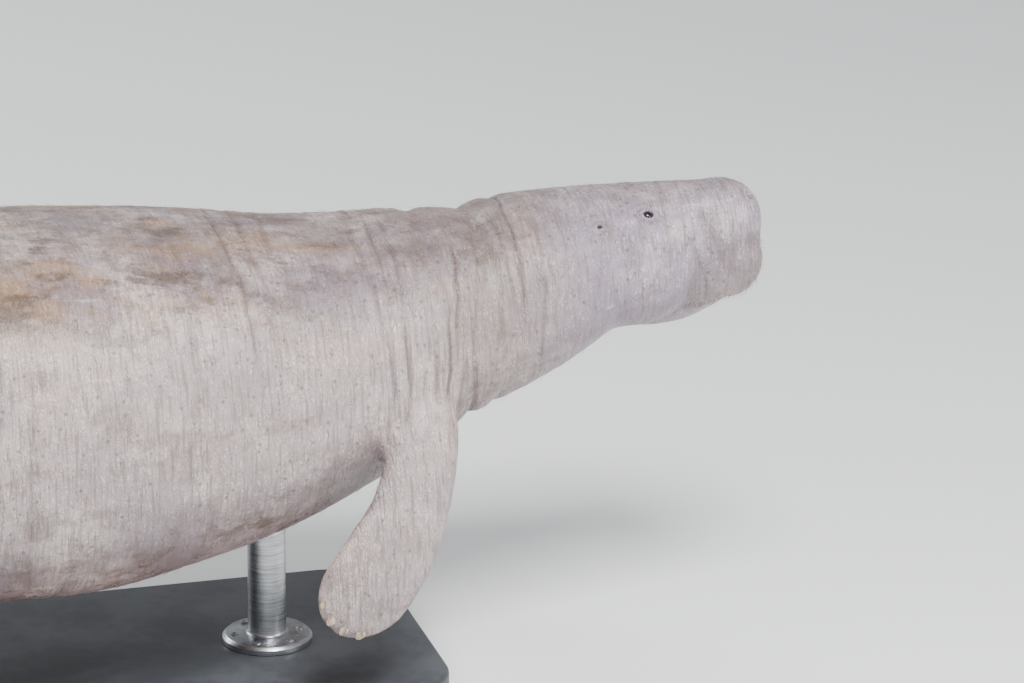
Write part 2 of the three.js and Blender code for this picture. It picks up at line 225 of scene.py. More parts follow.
@dataclass(frozen=True)
class BodyForm:
    """The form of trunk, head and tail, from the same named lines as the solids."""

    length: float = 3000
    muzzle_x: float = 1500
    level: float = 800
    muzzle_rounding: float = 62
    paddle_rounding: float = 340
    paddle_edge: float = 45
    droop_start: float = 1500
    droop_depth: float = 150
    lobe_blend: float = 18
    muzzle_centre: float = 130
    head_end: float = 430
    reach: float = 260
    back: Line = (
        (0, 13), (60, 27), (120, 30), (220, 34), (330, 36), (430, 33), (490, 27), (514, 19), (533, 9),
        (552, 13), (600, 17), (660, 18), (750, 15), (840, 17), (930, 27), (1020, 39), (1200, 52),
        (1400, 60), (1560, 56), (1750, 37), (1950, -4), (2120, -54), (2300, -112), (2500, -165),
        (2750, -212), (3000, -245),
    )
    belly: Line = (
        (0, -112), (60, -128), (120, -138), (200, -160), (280, -205), (350, -250), (430, -292),
        (500, -322), (560, -348), (650, -398), (750, -448), (900, -510), (1050, -551), (1250, -578),
        (1400, -580), (1600, -560), (1800, -515), (2000, -452), (2150, -400), (2300, -352),
        (2400, -322), (2550, -298), (2750, -283), (3000, -273),
    )
    half_width: Line = (
        (0, 66), (40, 80), (90, 94), (150, 104), (220, 121), (300, 146), (400, 173), (500, 192),
        (547, 198), (600, 216), (700, 262), (850, 310), (1000, 342), (1200, 366), (1350, 375),
        (1500, 370), (1700, 344), (1850, 310), (2000, 266), (2150, 216), (2260, 186), (2340, 178),
        (2420, 196), (2520, 245), (2620, 288), (2720, 312), (2800, 320), (3000, 322),
    )
    widest_at: Line = (
        (0, 0.5), (150, 0.42), (300, 0.4), (500, 0.44), (800, 0.48), (1400, 0.47), (2300, 0.5),
        (3000, 0.5),
    )
    squareness: Line = (
        (0, 2.4), (150, 2.2), (300, 2.1), (1000, 2.2), (1300, 2.5), (1700, 2.3), (2300, 2),
        (2500, 1.75), (3000, 1.6),
    )
    ring_step: Line = (
        (120, 3.3), (500, 3.5), (570, 3.6), (700, 5), (1000, 7), (1600, 9.5), (2200, 10), (2700, 9.5),
        (2950, 6), (3000, 2),
    )
    folds: tuple[Fold, ...] = (
        Fold(474, 22, 5, 12), Fold(626, -34, 7, 16), Fold(2235, 10, 6, 24), Fold(2310, 6, 5, 20),
    )
    snout: Lobe = Lobe((60, 0, -26), (58, 80, 50))
    paired_lobes: tuple[Lobe, ...] = (
        Lobe((68, 46, -98), (60, 54, 68)),
        Lobe((132, 60, -118), (76, 46, 50)),
        Lobe((252, 66, -112), (118, 70, 84)),
    )
    jaw_lobes: tuple[Lobe, ...] = (Lobe((104, 0, -158), (52, 56, 34)), Lobe((200, 0, -158), (132, 88, 60)))

    def place(self, behind: Array, side: Array, height: Array) -> Array:
        """Turn a place on the animal into a point of the model's frame, in millimetres."""
        ahead = self.muzzle_x - np.asarray(behind, float)
        parts = np.broadcast_arrays(ahead, side, self.level + np.asarray(height))
        return np.stack(parts, axis=-1).astype(float)

    def droop(self, behind: Array) -> Array:
        """Tell how far the tail hangs at some places."""
        share = np.clip((behind - self.droop_start) / (self.length - self.droop_start), 0, None)
        return self.droop_depth * share**2

    def section(self, behind: Array) -> Section:
        """Work out the sizes of the body's sections.

        Args:
            behind: Places behind the muzzle.

        Returns:
            The height of the widest line, and the reach sideways, up and down.
        """
        behind = np.asarray(behind, float)
        back, belly = along(self.back, behind), along(self.belly, behind)
        widest = belly + along(self.widest_at, behind) * (back - belly)
        muzzle = rounded_end(behind, self.muzzle_rounding, 2.3)
        end = self.length - behind
        edge = muzzle * rounded_end(end, self.paddle_edge)
        half = along(self.half_width, behind) * muzzle * rounded_end(end, self.paddle_rounding, 2.1)
        return Section(
            widest - self.droop(behind), half, (back - widest) * edge, (widest - belly) * edge,
            along(self.squareness, behind),
        )

    def fold_depth(self, behind: Array, up: Array) -> Array:
        """Tell the depth of the body's folds, where up is 1 on the back and -1 on the belly."""
        depth = np.zeros(np.broadcast(behind, up).shape)
        for fold in self.folds:
            depth += fold.depth * np.exp(-(((behind - fold.at - fold.slant * (1 - up)) / fold.width) ** 2))
        return depth

    def surface(self, behind: Array, angle: Array) -> Array:
        """Give points of the trunk's surface, at angles that turn from the left flank up over the back.

        Args:
            behind: Places behind the muzzle.
            angle: Angles round it.

        Returns:
            One point for each place and angle.
        """
        behind, angle = np.broadcast_arrays(np.asarray(behind, float), angle)
        sizes = self.section(behind)
        c, s = np.cos(angle), np.sin(angle)
        depth = np.minimum(self.fold_depth(behind, s), sizes.half * 0.3)
        power = 2 / sizes.squareness
        side = np.sign(c) * np.abs(c) ** power * (sizes.half - depth)
        rise = np.sign(s) * np.abs(s) ** power * (np.where(s > 0, sizes.up, sizes.down) - depth)
        return self.place(behind, side, sizes.height + rise)

    def flank_point(self, behind: float, height: float, side: Side) -> Array:
        """Give the point of the trunk's surface at a height, on one side.

        Args:
            behind: Place behind the muzzle.
            height: Height over the level.
            side: Side of the animal.

        Returns:
            The point.
        """
        sizes = self.section(np.array(behind))
        rise = height - float(sizes.height)
        share = abs(rise) / float(sizes.up if rise > 0 else sizes.down)
        angle = math.copysign(math.asin(share ** (float(sizes.squareness) / 2)), rise)
        return self.surface(np.array(behind), np.array(angle if side is Side.LEFT else math.pi - angle))

    def flank_normal(self, behind: float, height: float, side: Side) -> Array:
        """Give the direction that points out of the skin at a place on one flank."""
        step = 4
        rear, front = (self.flank_point(behind + move, height, side) for move in (step, -step))
        high, low = (self.flank_point(behind, height + move, side) for move in (step, -step))
        return unit(np.cross(rear - front, high - low) * side.value)

    def trunk_distance(self, points: Array) -> Array:
        """Give about how far points lie from the trunk, less than zero inside it.

        Args:
            points: Points in millimetres.

        Returns:
            The distance of each point.
        """
        behind = self.muzzle_x - points[..., 0]
        sizes = self.section(np.clip(behind, 1, self.length - 1))
        rise = points[..., 2] - self.level - sizes.height
        tall = np.where(rise > 0, sizes.up, sizes.down)
        power = sizes.squareness
        total = (np.abs(points[..., 1]) / sizes.half) ** power + (np.abs(rise) / tall) ** power
        return np.where(behind <= 1, self.reach, (total ** (1 / power) - 1) * np.minimum(sizes.half, tall))

    def lobe_distance(self, points: Array, lobe: Lobe, side: float) -> Array:
        """Give about how far points lie from a lobe, less than zero inside it.

        Args:
            points: Points in millimetres.
            lobe: The lobe.
            side: 1 for the left side, -1 for the right, 0 for the middle.

        Returns:
            The distance of each point.
        """
        behind, sideways, height = lobe.centre
        size = np.array(lobe.radii, float)
        offset = (points - self.place(behind, side * sideways, height)) / size
        share = np.linalg.norm(offset, axis=-1)
        return share * (share - 1) / np.maximum(np.linalg.norm(offset / size, axis=-1), 1e-9)

    def head_distance(self, points: Array) -> Array:
        """Give about how far points lie from the head, where its lobes melt into the trunk.

        Args:
            points: Points in millimetres.

        Returns:
            The distance of each point.
        """
        total = self.trunk_distance(points)
        paired = [(lobe, float(side.value)) for side in Side for lobe in self.paired_lobes]
        for lobe, side in [(self.snout, 0.0), *paired]:
            total = soft_union(total, self.lobe_distance(points, lobe, side), self.lobe_blend)
        return total

    def jaw_distance(self, points: Array) -> Array:
        """Give about how far points lie from the lower jaw and its lip."""
        parts = [self.lobe_distance(points, lobe, 0) for lobe in self.jaw_lobes]
        return soft_union(parts[0], parts[1], self.lobe_blend * 0.6)

    def locate(self, points: Array) -> tuple[Array, Array]:
        """Find where points lie on the body.

        Args:
            points: Points in millimetres.

        Returns:
            The place behind the muzzle and the angle round the body of each point.
        """
        behind = self.muzzle_x - points[:, 0]
        sizes = self.section(np.clip(behind, self.muzzle_centre, self.length - 20))
        rise = points[:, 2] - self.level - sizes.height
        tall = np.where(rise > 0, sizes.up, sizes.down)
        return behind, np.arctan2(rise / tall, points[:, 1] / sizes.half)


def soft_union(first: Array, second: Array, blend: float) -> Array:
    """Join two distances so that the forms melt into each other over a width."""
    near = np.maximum(blend - np.abs(first - second), 0)
    return np.minimum(first, second) - near**2 / (4 * blend)


def meet_from_outside(
    distance: Callable[[Array], Array], centres: Array, directions: Array, reach: float
) -> Array:
    """Find the outermost surface point on each ray.

    Args:
        distance: Function that gives the distance of points from the form.
        centres: Start of each ray, inside the form.
        directions: Unit direction of each ray.
        reach: How far out the search starts.

    Returns:
        The surface points.
    """
    step = 4.0
    outside = np.full(directions.shape[:-1], reach)
    for _ in range(int(reach / step)):
        ahead = distance(centres + directions * (outside - step)[..., None]) > 0
        outside = np.where(ahead, outside - step, outside)
    inside = outside - step
    for _ in range(12):
        middle = (outside + inside) / 2
        free = distance(centres + directions * middle[..., None]) > 0
        outside, inside = np.where(free, middle, outside), np.where(free, inside, middle)
    return centres + directions * ((outside + inside) / 2)[..., None]


@dataclass(frozen=True)
class FlipperForm:
    """The form of one flipper: a bent middle line with an outline along it, as in the solids.

    Attributes:
        side: Side of the animal.
        backward: How much further back this flipper swings, in degrees.
        outward: How much further out it swings, in degrees.
    """

    side: Side
    backward: float
    outward: float
    shoulder: Triple = (668, 150, -215)
    stretches: tuple[Triple, ...] = ((150, 48, 4), (125, 26, 14), (120, 10, 28), (125, -8, 36))
    leading: Line = ((0, 66), (0.3, 64), (0.5, 62), (0.7, 72), (0.85, 74), (1, 70))
    trailing: Line = ((0, 66), (0.3, 66), (0.5, 74), (0.7, 86), (0.85, 84), (1, 76))
    thickness: Line = ((0, 50), (0.3, 44), (0.5, 35), (0.7, 26), (0.9, 16), (1, 12))
    tip_rounding: float = 0.2
    tip_power: float = 2.2

    def middle_line(self, body: BodyForm) -> tuple[Array, Array]:
        """Lay the middle line as a smooth curve through the joints of the limb.

        Args:
            body: Form of the body that carries the flipper.

        Returns:
            Evenly spread points of the line and the share of its length at each.
        """
        sign = self.side.value
        behind, sideways, height = self.shoulder
        joints = [body.place(behind, sign * sideways, height)]
        for length, outward, backward in self.stretches:
            out, back = math.radians(outward + self.outward), math.radians(backward + self.backward)
            hanging = -math.cos(back) * math.cos(out)
            step = np.array([-math.sin(back) * math.cos(out), sign * math.sin(out), hanging])
            joints.append(joints[-1] + step * length)
        knots = [2 * joints[0] - joints[1], *joints, 2 * joints[-1] - joints[-2]]
        points = []
        for p0, p1, p2, p3 in zip(knots, knots[1:], knots[2:], knots[3:], strict=False):
            d0, d1, d2 = (math.sqrt(np.linalg.norm(b - a)) for a, b in ((p0, p1), (p1, p2), (p2, p3)))
            m1 = ((p1 - p0) / d0 - (p2 - p0) / (d0 + d1) + (p2 - p1) / d1) * d1
            m2 = ((p2 - p1) / d1 - (p3 - p1) / (d1 + d2) + (p3 - p2) / d2) * d1
            for t in np.linspace(0, 1, 60, endpoint=False):
                cubic = (2 * p1 - 2 * p2 + m1 + m2) * t**3 + (-3 * p1 + 3 * p2 - 2 * m1 - m2) * t**2
                points.append(cubic + m1 * t + p1)
        points.append(joints[-1])
        line = np.array(points)
        run = np.concatenate([[0], np.cumsum(np.linalg.norm(np.diff(line, axis=0), axis=1))])
        return line, run / run[-1]

    def frame_at(self, body: BodyForm, u: Array) -> tuple[Array, Array, Array]:
        """Give the middle point and the forward and outward directions along the flipper.

        Args:
            body: Form of the body.
            u: Shares of the flipper's length.

        Returns:
            Middle points, forward directions and outward directions.
        """
        line, share = self.middle_line(body)

        def point(at: Array) -> Array:
            """Read the middle line at shares of its length."""
            return np.stack([np.interp(at, share, line[:, k]) for k in range(3)], axis=-1)

        u = np.asarray(u, float)
        tangent = unit(point(np.clip(u + 0.01, 0, 1)) - point(np.clip(u - 0.01, 0, 1)))
        outside = unit(np.array([0.0, self.side.value, 0.2]))
        forward = unit(np.cross(tangent, outside))
        forward = np.where(forward[..., :1] < 0, -forward, forward)
        face = unit(np.cross(forward, tangent))
        face = np.where(face[..., 1:2] * self.side.value < 0, -face, face)
        return point(u), forward, face

    def surface(self, body: BodyForm, u: Array, angle: Array) -> Array:
        """Give points of the flipper's surface at shares of its length and angles round it.

        Args:
            body: Form of the body.
            u: Shares of the flipper's length.
            angle: Angles round the flipper.

        Returns:
            One point for each share and angle.
        """
        u, angle = np.broadcast_arrays(np.asarray(u, float), angle)
        origin, forward, face = self.frame_at(body, u)
        c, s = np.cos(angle), np.sin(angle)
        width = np.where(c > 0, along(self.leading, u), along(self.trailing, u))
        reach = width * rounded_end(1 - u, self.tip_rounding, self.tip_power)
        thick = along(self.thickness, u) * rounded_end(1 - u, self.tip_rounding / 3)
        return origin + forward * (c * reach)[..., None] + face * (s * thick)[..., None]

    def length(self) -> float:
        """Give the length of the flipper along its stretches."""
        return sum(stretch[0] for stretch in self.stretches)


def loft_faces(rings: int, around: int) -> list[tuple[int, ...]]:
    """List the faces of a closed surface through rings, with one point at each end.

    Args:
        rings: Number of rings.
        around: Points in each ring.

    Returns:
        Faces as indices, where 0 is the first end and the last point the other end.
    """

    def at(ring: int, i: int) -> int:
        """Give the index of a ring's point."""
        return 1 + ring * around + i % around

    last = 1 + rings * around
    faces: list[tuple[int, ...]] = []
    for i in range(around):
        faces.append((0, at(0, i), at(0, i + 1)))
        faces.append((last, at(rings - 1, i + 1), at(rings - 1, i)))
    for ring in range(rings - 1):
        for i in range(around):
            faces.append((at(ring, i), at(ring + 1, i), at(ring + 1, i + 1), at(ring, i + 1)))
    return faces


def make_object(name: str, points: Array, faces: list[tuple[int, ...]]) -> Piece:
    """Make a smooth closed mesh object with its faces pointing out.

    Args:
        name: Name of the object.
        points: Points in millimetres.
        faces: Faces as indices of points.

    Returns:
        The object, linked to the scene.
    """
    mesh = bpy.data.meshes.new(name)
    mesh.from_pydata((np.asarray(points) * MM).tolist(), [], faces)
    shape = bmesh.new()
    shape.from_mesh(mesh)
    bmesh.ops.recalc_face_normals(shape, faces=shape.faces)
    shape.to_mesh(mesh)
    shape.free()
    mesh.shade_smooth()
    made = bpy.data.objects.new(name, mesh)
    bpy.context.scene.collection.objects.link(made)
    return made


def loft_object(name: str, start: Array, rings: Array, end: Array) -> Piece:
    """Make a closed loft through rings of points, from one end point to the other."""
    count, around = rings.shape[:2]
    points = np.concatenate([start.reshape(1, 3), rings.reshape(-1, 3), end.reshape(1, 3)])
    return make_object(name, points, loft_faces(count, around))


def baked(made: Piece) -> Piece:
    """Apply the live modifiers of an object to its mesh.

    Args:
        made: The object.

    Returns:
        The same object.
    """
    graph = bpy.context.evaluated_depsgraph_get()
    mesh = bpy.data.meshes.new_from_object(made.evaluated_get(graph))
    made.modifiers.clear()
    old, made.data = made.data, mesh
    bpy.data.meshes.remove(old)
    mesh.name = made.name
    return made


def positions_of(mesh: Mesh) -> Array:
    """Read a mesh's points in millimetres."""
    flat = np.empty(len(mesh.vertices) * 3, np.float32)
    mesh.vertices.foreach_get("co", flat)
    return flat.reshape(-1, 3).astype(float) / MM


def normals_of(mesh: Mesh) -> Array:
    """Read a mesh's point normals."""
    flat = np.empty(len(mesh.vertices) * 3, np.float32)
    mesh.vertex_normals.foreach_get("vector", flat)
    return flat.reshape(-1, 3).astype(float)


def move_to(mesh: Mesh, points: Array) -> None:
    """Move a mesh's points to places in millimetres."""
    mesh.vertices.foreach_set("co", (points * MM).astype(np.float32).ravel())
    mesh.update()


def relax(mesh: Mesh, weight: Array, rounds: int) -> None:
    """Smooth a mesh where a weight says so.

    Args:
        mesh: The mesh.
        weight: Share from 0 to 1 for each point.
        rounds: Number of smoothing rounds.
    """
    edges = np.empty(len(mesh.edges) * 2, np.int32)
    mesh.edges.foreach_get("vertices", edges)
    a, b = edges.reshape(-1, 2).T
    points = positions_of(mesh)
    count = np.maximum(np.bincount(np.concatenate([a, b]), minlength=len(points)), 1)
    share = (weight * 0.6)[:, None]
    for _ in range(rounds):
        pulls = []
        for axis in range(3):
            here = points[:, axis]
            pulls.append(np.bincount(a, here[b], len(points)) + np.bincount(b, here[a], len(points)))
        points += (np.stack(pulls, axis=1) / count[:, None] - points) * share
    move_to(mesh, points)


@dataclass(frozen=True)
class Opening:
    """A small opening in the head with a raised rim.

    Attributes:
        across: Half size of the opening across and along.
        depth: Depth of the hollow.
        rim: Height of the rim.
        rim_width: Width of the rim.
    """

    across: tuple[float, float]
    depth: float
    rim: float
    rim_width: float


@dataclass(frozen=True)
class HeadSense:
    """Places and sizes of eyes, ears and nostrils, as in the solids."""

    eye_place: tuple[float, float] = (225, 8)
    eye_radius: float = 12
    eye_sunk: float = 8
    ear_place: tuple[float, float] = (318, 1)
    nostril: Lobe = Lobe((26, 32, 12), (18, 14, 10))
    lids: Opening = Opening((9.8, 7.4), 7, 4.8, 4.4)
    ear: Opening = Opening((5.4, 3.8), 8, 1.2, 4.2)
    nostril_rim: Opening = Opening((15.0, 8.5), 12, 1.4, 5.5)


@dataclass(frozen=True)
class Relief:
    """What the skin's surface adds to the body's form: lids, rims, folds, creases and wrinkles.

    Attributes:
        body: Form of the body.
        senses: Places and sizes of eyes, ears and nostrils.
        seed: Seed of the creases.
        zones: Creases of one zone in each row: first and last place, number, depth and half width.
    """

    body: BodyForm
    senses: HeadSense
    seed: int = 11
    zones: tuple[tuple[float, ...], ...] = (
        (430, 540, 7, 1.6, 4.2), (560, 760, 15, 2.2, 5.5), (760, 1020, 12, 1.5, 7.0),
        (300, 430, 6, 0.8, 3.6), (1020, 1700, 12, 1.2, 9.0), (2120, 2420, 15, 2.2, 8.0),
        (30, 190, 9, 0.9, 3.4),
    )

    def flank_frame(self, place: tuple[float, float], side: Side) -> tuple[Array, Array]:
        """Give the surface point and the outward direction at a place on one flank."""
        return self.body.flank_point(*place, side), self.body.flank_normal(*place, side)

    def nostril_frame(self, side: Side) -> tuple[Array, Array]:
        """Give the surface point and the outward direction at a nostril.

        Args:
            side: Side of the animal.

        Returns:
            The point and the unit direction.
        """
        behind, sideways, height = self.senses.nostril.centre
        centre = self.body.place(behind, side.value * sideways, height)
        outward = unit(np.array([0.74, 0.12 * side.value, 0.66]))
        point = meet_from_outside(self.body.head_distance, centre[None] - 30 * outward, outward[None], 90.0)
        return point[0], outward

    def frames(self) -> list[tuple[Array, Array, Opening, float]]:
        """List the openings of the head, each with its turn about its own axis in degrees.

        Returns:
            Point, outward direction, form and turn of each opening.
        """
        listed = []
        for side in Side:
            listed.append((*self.flank_frame(self.senses.eye_place, side), self.senses.lids, -8.0))
            listed.append((*self.flank_frame(self.senses.ear_place, side), self.senses.ear, 15.0))
            listed.append((*self.nostril_frame(side), self.senses.nostril_rim, 90.0 + 14.0 * side.value))
        return listed

    def opening_relief(
        self, points: Array, frame: tuple[Array, Array, Opening, float]
    ) -> tuple[Array, Array, Array]:
        """Work out one opening: how far the skin moves, in which direction, and how hollow it is.

        Args:
            points: Points of the skin.
            frame: Point, outward direction, form and turn of the opening.

        Returns:
            Moves along the opening's axis, the axis, and a mask of the hollow.
        """
        centre, outward, form, turn = frame
        lengthwise = unit(np.array([1.0, 0, 0]) - outward * outward[0])
        across = np.cross(outward, lengthwise)
        c, s = math.cos(math.radians(turn)), math.sin(math.radians(turn))
        first, second = lengthwise * c + across * s, across * c - lengthwise * s
        offset = points - centre
        x, y, deep = offset @ first, offset @ second, offset @ outward
        narrow = min(form.across)
        share = np.hypot(x / form.across[0], y / form.across[1])
        beyond = (share - 1) * narrow
        angle = np.arctan2(y, x)
        wrinkle = 1 + 0.16 * np.sin(angle * 9 + 1.3) + 0.1 * np.sin(angle * 17)

        def ring(at: float, width: float) -> Array:
            """Give a rounded ring round the opening, with its place and width in widths of the rim."""
            return np.exp(-(((beyond - form.rim_width * at) / (form.rim_width * width)) ** 2))

        rim = form.rim * wrinkle * ring(0.55, 1)
        groove = -0.42 * form.rim * ring(2.1, 0.42)
        outer = 0.42 * form.rim * wrinkle * ring(3.1, 0.7)
        hollow = 1 - smoothstep(-narrow * 0.45, narrow * 0.06, beyond)
        near = (np.abs(deep) < 45) & (np.hypot(x, y) < form.rim_width * 7 + max(form.across))
        move = np.where(near, (rim + groove + outer) * (1 - hollow) - form.depth * hollow, 0)
        return move, outward, np.where(near, hollow, 0)

    def creases(self) -> list[tuple[float, float, float, float, float, float]]:
        """Draw the skin's creases: place, slant, depth, width, middle angle and half extent of each.

        Returns:
            The values of each crease.
        """
        rng = np.random.default_rng(self.seed)
        listed = []
        for start, stop, count, depth, width in self.zones:
            for at in np.linspace(start, stop, count) + rng.normal(0, 5, count):
                slant = rng.normal(8, 22)
                middle = rng.uniform(-math.pi, math.pi)
                spread = rng.uniform(0.5, 1.6)
                sizes = (depth * rng.uniform(0.5, 1.2), width * rng.uniform(0.7, 1.2))
                listed.append((at, slant, *sizes, middle, spread))
        return listed

    def crease_relief(self, points: Array, behind: Array, angle: Array) -> Array:
        """Give the depth of the creases at points of the trunk, less than zero in a crease.

        Args:
            points: Points in millimetres.
            behind: Places behind the muzzle.
            angle: Angles round it.

        Returns:
            How far each point moves outwards.
        """
        wave = 9 * noise_at(points, (400, 120, 120), 3) + 3.5 * noise_at(points, (150, 42, 42), 4)
        total = np.zeros(len(points))
        up = np.sin(angle)
        for at, slant, depth, width, middle, spread in self.creases():
            distance = np.abs(behind - at - slant * (1 - up) + wave) / width
            turn = np.abs((angle - middle + math.pi) % (2 * math.pi) - math.pi)
            window = 1 - smoothstep(spread * 0.5, spread, turn)
            total += depth * window * (0.4 * np.exp(-((distance - 2) ** 2)) - np.exp(-(distance**2)))
        return total

    def bulk_relief(self, points: Array, behind: Array, limb: Array) -> Array:
        """Give the soft swell of flesh and the fine wrinkles that cross the body.

        Args:
            points: Points in millimetres.
            behind: Places behind the muzzle.
            limb: Share of the flippers at each point.

        Returns:
            How far each point moves outwards.
        """
        head = 1 - smoothstep(420, 640, behind)
        paddle = smoothstep(2350, 2550, behind)
        soft = 2.6 * noise_at(points, (340, 230, 230), 1) + 1.1 * noise_at(points, (120, 95, 95), 2)
        soft *= 1 - 0.65 * head - 0.4 * paddle
        fine = noise_at(points, (13, 60, 60), 5) * 0.55 + noise_at(points, (8.5, 30, 30), 6) * 0.32
        fine *= np.where(behind < 640, 1, 0.8) * (1 - limb)
        limb_wrinkles = noise_at(points, (46, 46, 13), 7) * 0.9 + noise_at(points, (20, 20, 8), 8) * 0.5
        ribs = noise_at(points, (160, 17, 60), 9) * 1.1 * paddle
        return soft * (1 - 0.5 * limb) + fine + limb_wrinkles * limb + ribs

    def pad_share(self, points: Array) -> Array:
        """Tell how far points lie on the bristly pads of the lips.

        Args:
            points: Points in millimetres.

        Returns:
            Shares from 0 to 1.
        """
        front, rear = self.body.paired_lobes[:2]
        best = np.full(len(points), 1e3)
        for side in Side:
            for lobe in (front, rear):
                best = np.minimum(best, np.abs(self.body.lobe_distance(points, lobe, side.value)))
        low = self.body.level - 18 - points[:, 2]
        return (1 - smoothstep(5, 15, best)) * smoothstep(0, 26, low)

    def pad_relief(self, points: Array, pads: Array) -> Array:
        """Give the warty relief of the lip pads.

        Args:
            points: Points of the skin.
            pads: Share of the pads at each point.

        Returns:
            How far each point moves outwards.
        """
        wart_size, edge = 11.0, 0.45
        total = np.zeros(len(points))
        chosen = np.nonzero(pads > 0.02)[0]
        for i in chosen.tolist():
            near, _ = noise.voronoi(Vector(points[i]) / wart_size)
            total[i] = 1.5 * (edge + min(near[1] - near[0], edge)) - 0.9
        return total * pads


@dataclass
class Skin:
    """The one skin of body, jaw and flippers.

    Attributes:
        body: Form of the body.
        relief: What the surface adds to it.
        flippers: Forms of the two flippers.
    """

    body: BodyForm
    relief: Relief
    flippers: tuple[FlipperForm, ...]
    around: int = 164
    muzzle_rings: int = 44
    limb_rings: int = 62
    limb_around: int = 52
    jaw_rings: int = 44
    jaw_around: int = 56
    jaw_reach: float = 200.0
    join_width: float = 34.0
    join_rounds: int = 26
    shells: dict[str, BVHTree] = field(default_factory=dict)

    def trunk(self) -> Piece:
        """Make the trunk with the head's lobes, in rings from the muzzle to the end of the paddle.

        Returns:
            The closed trunk.
        """
        body = self.body
        angles = round_angles(self.around)
        muzzle = body.place(body.muzzle_centre, 0, float(body.section(np.array(body.muzzle_centre)).height))
        forward = np.array([1.0, 0, 0])
        fan = unit(body.surface(body.muzzle_centre, angles) - muzzle)
        tilt = (1 - np.arange(1, self.muzzle_rings) / self.muzzle_rings) * (math.pi / 2)
        rays = fan[None] * np.cos(tilt)[:, None, None] + forward * np.sin(tilt)[:, None, None]
        front = meet_from_outside(body.head_distance, np.broadcast_to(muzzle, rays.shape), rays, body.reach)
        places = [body.muzzle_centre]
        while places[-1] < body.length - 2:
            places.append(places[-1] + float(along(body.ring_step, np.array(places[-1]))))
        behind = np.array([p for p in places if p < body.length - 0.8])
        sections = body.surface(behind[:, None], angles[None])
        middles = body.place(behind, 0, body.section(behind).height)
        head = behind < body.head_end
        centres = np.broadcast_to(middles[head][:, None], sections[head].shape)
        outward = unit(sections[head] - centres)
        sections[head] = meet_from_outside(body.head_distance, centres, outward, body.reach)
        tip = meet_from_outside(body.head_distance, muzzle[None], forward[None], body.reach)
        end = body.place(body.length, 0, float(body.section(np.array(body.length)).height))
        return loft_object("manatee_skin", tip, np.concatenate([front, sections]), end)

    def limb(self, form: FlipperForm) -> Piece:
        """Make the closed shell of one flipper.

        Args:
            form: The flipper.

        Returns:
            The closed shell.
        """
        share = np.sin(np.arange(self.limb_rings) / self.limb_rings * (math.pi / 2)) ** 1.15
        angles = round_angles(self.limb_around)
        rings = form.surface(self.body, share[:, None], angles[None])
        start, _, _ = form.frame_at(self.body, np.array(0.0))
        end, _, _ = form.frame_at(self.body, np.array(1.0))
        return loft_object(f"limb_{form.side.word}", start, rings, end)

    def jaw(self) -> Piece:
        """Make the closed shell of the lower jaw and its lip.

        Returns:
            The closed shell.
        """
        behind, _, height = self.body.jaw_lobes[1].centre
        centre = self.body.place(behind, 0, height)
        turn, angles = pole_angles(self.jaw_rings)[:, None], round_angles(self.jaw_around)
        parts = (np.cos(turn), np.sin(turn) * np.cos(angles), np.sin(turn) * np.sin(angles))
        rays = np.stack(np.broadcast_arrays(*parts), axis=-1)
        ends = np.array([[1.0, 0, 0], [-1.0, 0, 0]])
        form = self.body.jaw_distance
        rings, tips = (
            meet_from_outside(form, np.broadcast_to(centre, way.shape), way, self.jaw_reach)
            for way in (rays, ends)
        )
        return loft_object("jaw_shell", tips[0], rings, tips[1])

    def joined(self) -> Piece:
        """Join trunk, jaw and flippers into one closed surface, with soft armpits and throat.

        Returns:
            The joined surface.
        """
        trunk = self.trunk()
        for part in [self.jaw(), *(self.limb(form) for form in self.flippers)]:
            self.shells[part.name] = shell_of(part)
            join = trunk.modifiers.new("join", "BOOLEAN")
            join.operation = "UNION"
            join.solver = "MANIFOLD"
            join.object = part
            baked(trunk)
            bpy.data.objects.remove(part)
        shape = bmesh.new()
        shape.from_mesh(trunk.data)
        bmesh.ops.remove_doubles(shape, verts=shape.verts, dist=0.9 * MM)
        shape.to_mesh(trunk.data)
        shape.free()
        self.soften(trunk.data)
        return trunk

    def soften(self, mesh: Mesh) -> None:
        """Round the lines where the flippers and the throat join the trunk.

        Args:
            mesh: The mesh.
        """
        points = positions_of(mesh)
        trunk = np.abs(self.body.trunk_distance(points))
        weight = np.zeros(len(points))
        for name, shell in self.shells.items():
            reach = self.join_width if name.startswith("limb") else self.join_width * 0.55
            near = nearest(shell, points, reach)
            share = (1 - smoothstep(reach * 0.35, reach, near)) * (1 - smoothstep(reach * 0.35, reach, trunk))
            if not name.startswith("limb"):
                share = share * smoothstep(215, 275, self.body.muzzle_x - points[:, 0])
            weight = np.maximum(weight, share)
        relax(mesh, weight, self.join_rounds)

    def refine(self, mesh: Mesh) -> None:
        """Make the mesh finer round the eyes, ears and nostrils.

        Args:
            mesh: The mesh.
        """
        shape = bmesh.new()
        shape.from_mesh(mesh)
        for reach in (1.5, 1.0):
            chosen = set()
            for centre, _, form, _ in self.relief.frames():
                middle = Vector(centre * MM)
                limit = (max(form.across) + form.rim_width * 2.2) * reach * MM
                chosen.update(e for e in shape.edges if (e.verts[0].co - middle).length < limit)
            bmesh.ops.subdivide_edges(shape, edges=list(chosen), cuts=1, use_grid_fill=True)
        bmesh.ops.triangulate(shape, faces=[f for f in shape.faces if len(f.verts) > 4])
        shape.to_mesh(mesh)
        shape.free()

    def limb_share(self, points: Array) -> Array:
        """Tell how far points belong to a flipper rather than to the trunk.

        Args:
            points: Points in millimetres.

        Returns:
            Shares from 0 to 1.
        """
        share = np.zeros(len(points))
        outside = self.body.trunk_distance(points)
        for name, shell in self.shells.items():
            if name.startswith("limb"):
                near = nearest(shell, points, 40.0)
                share = np.maximum(share, (1 - smoothstep(4, 14, near)) * smoothstep(2, 26, outside))
        return share

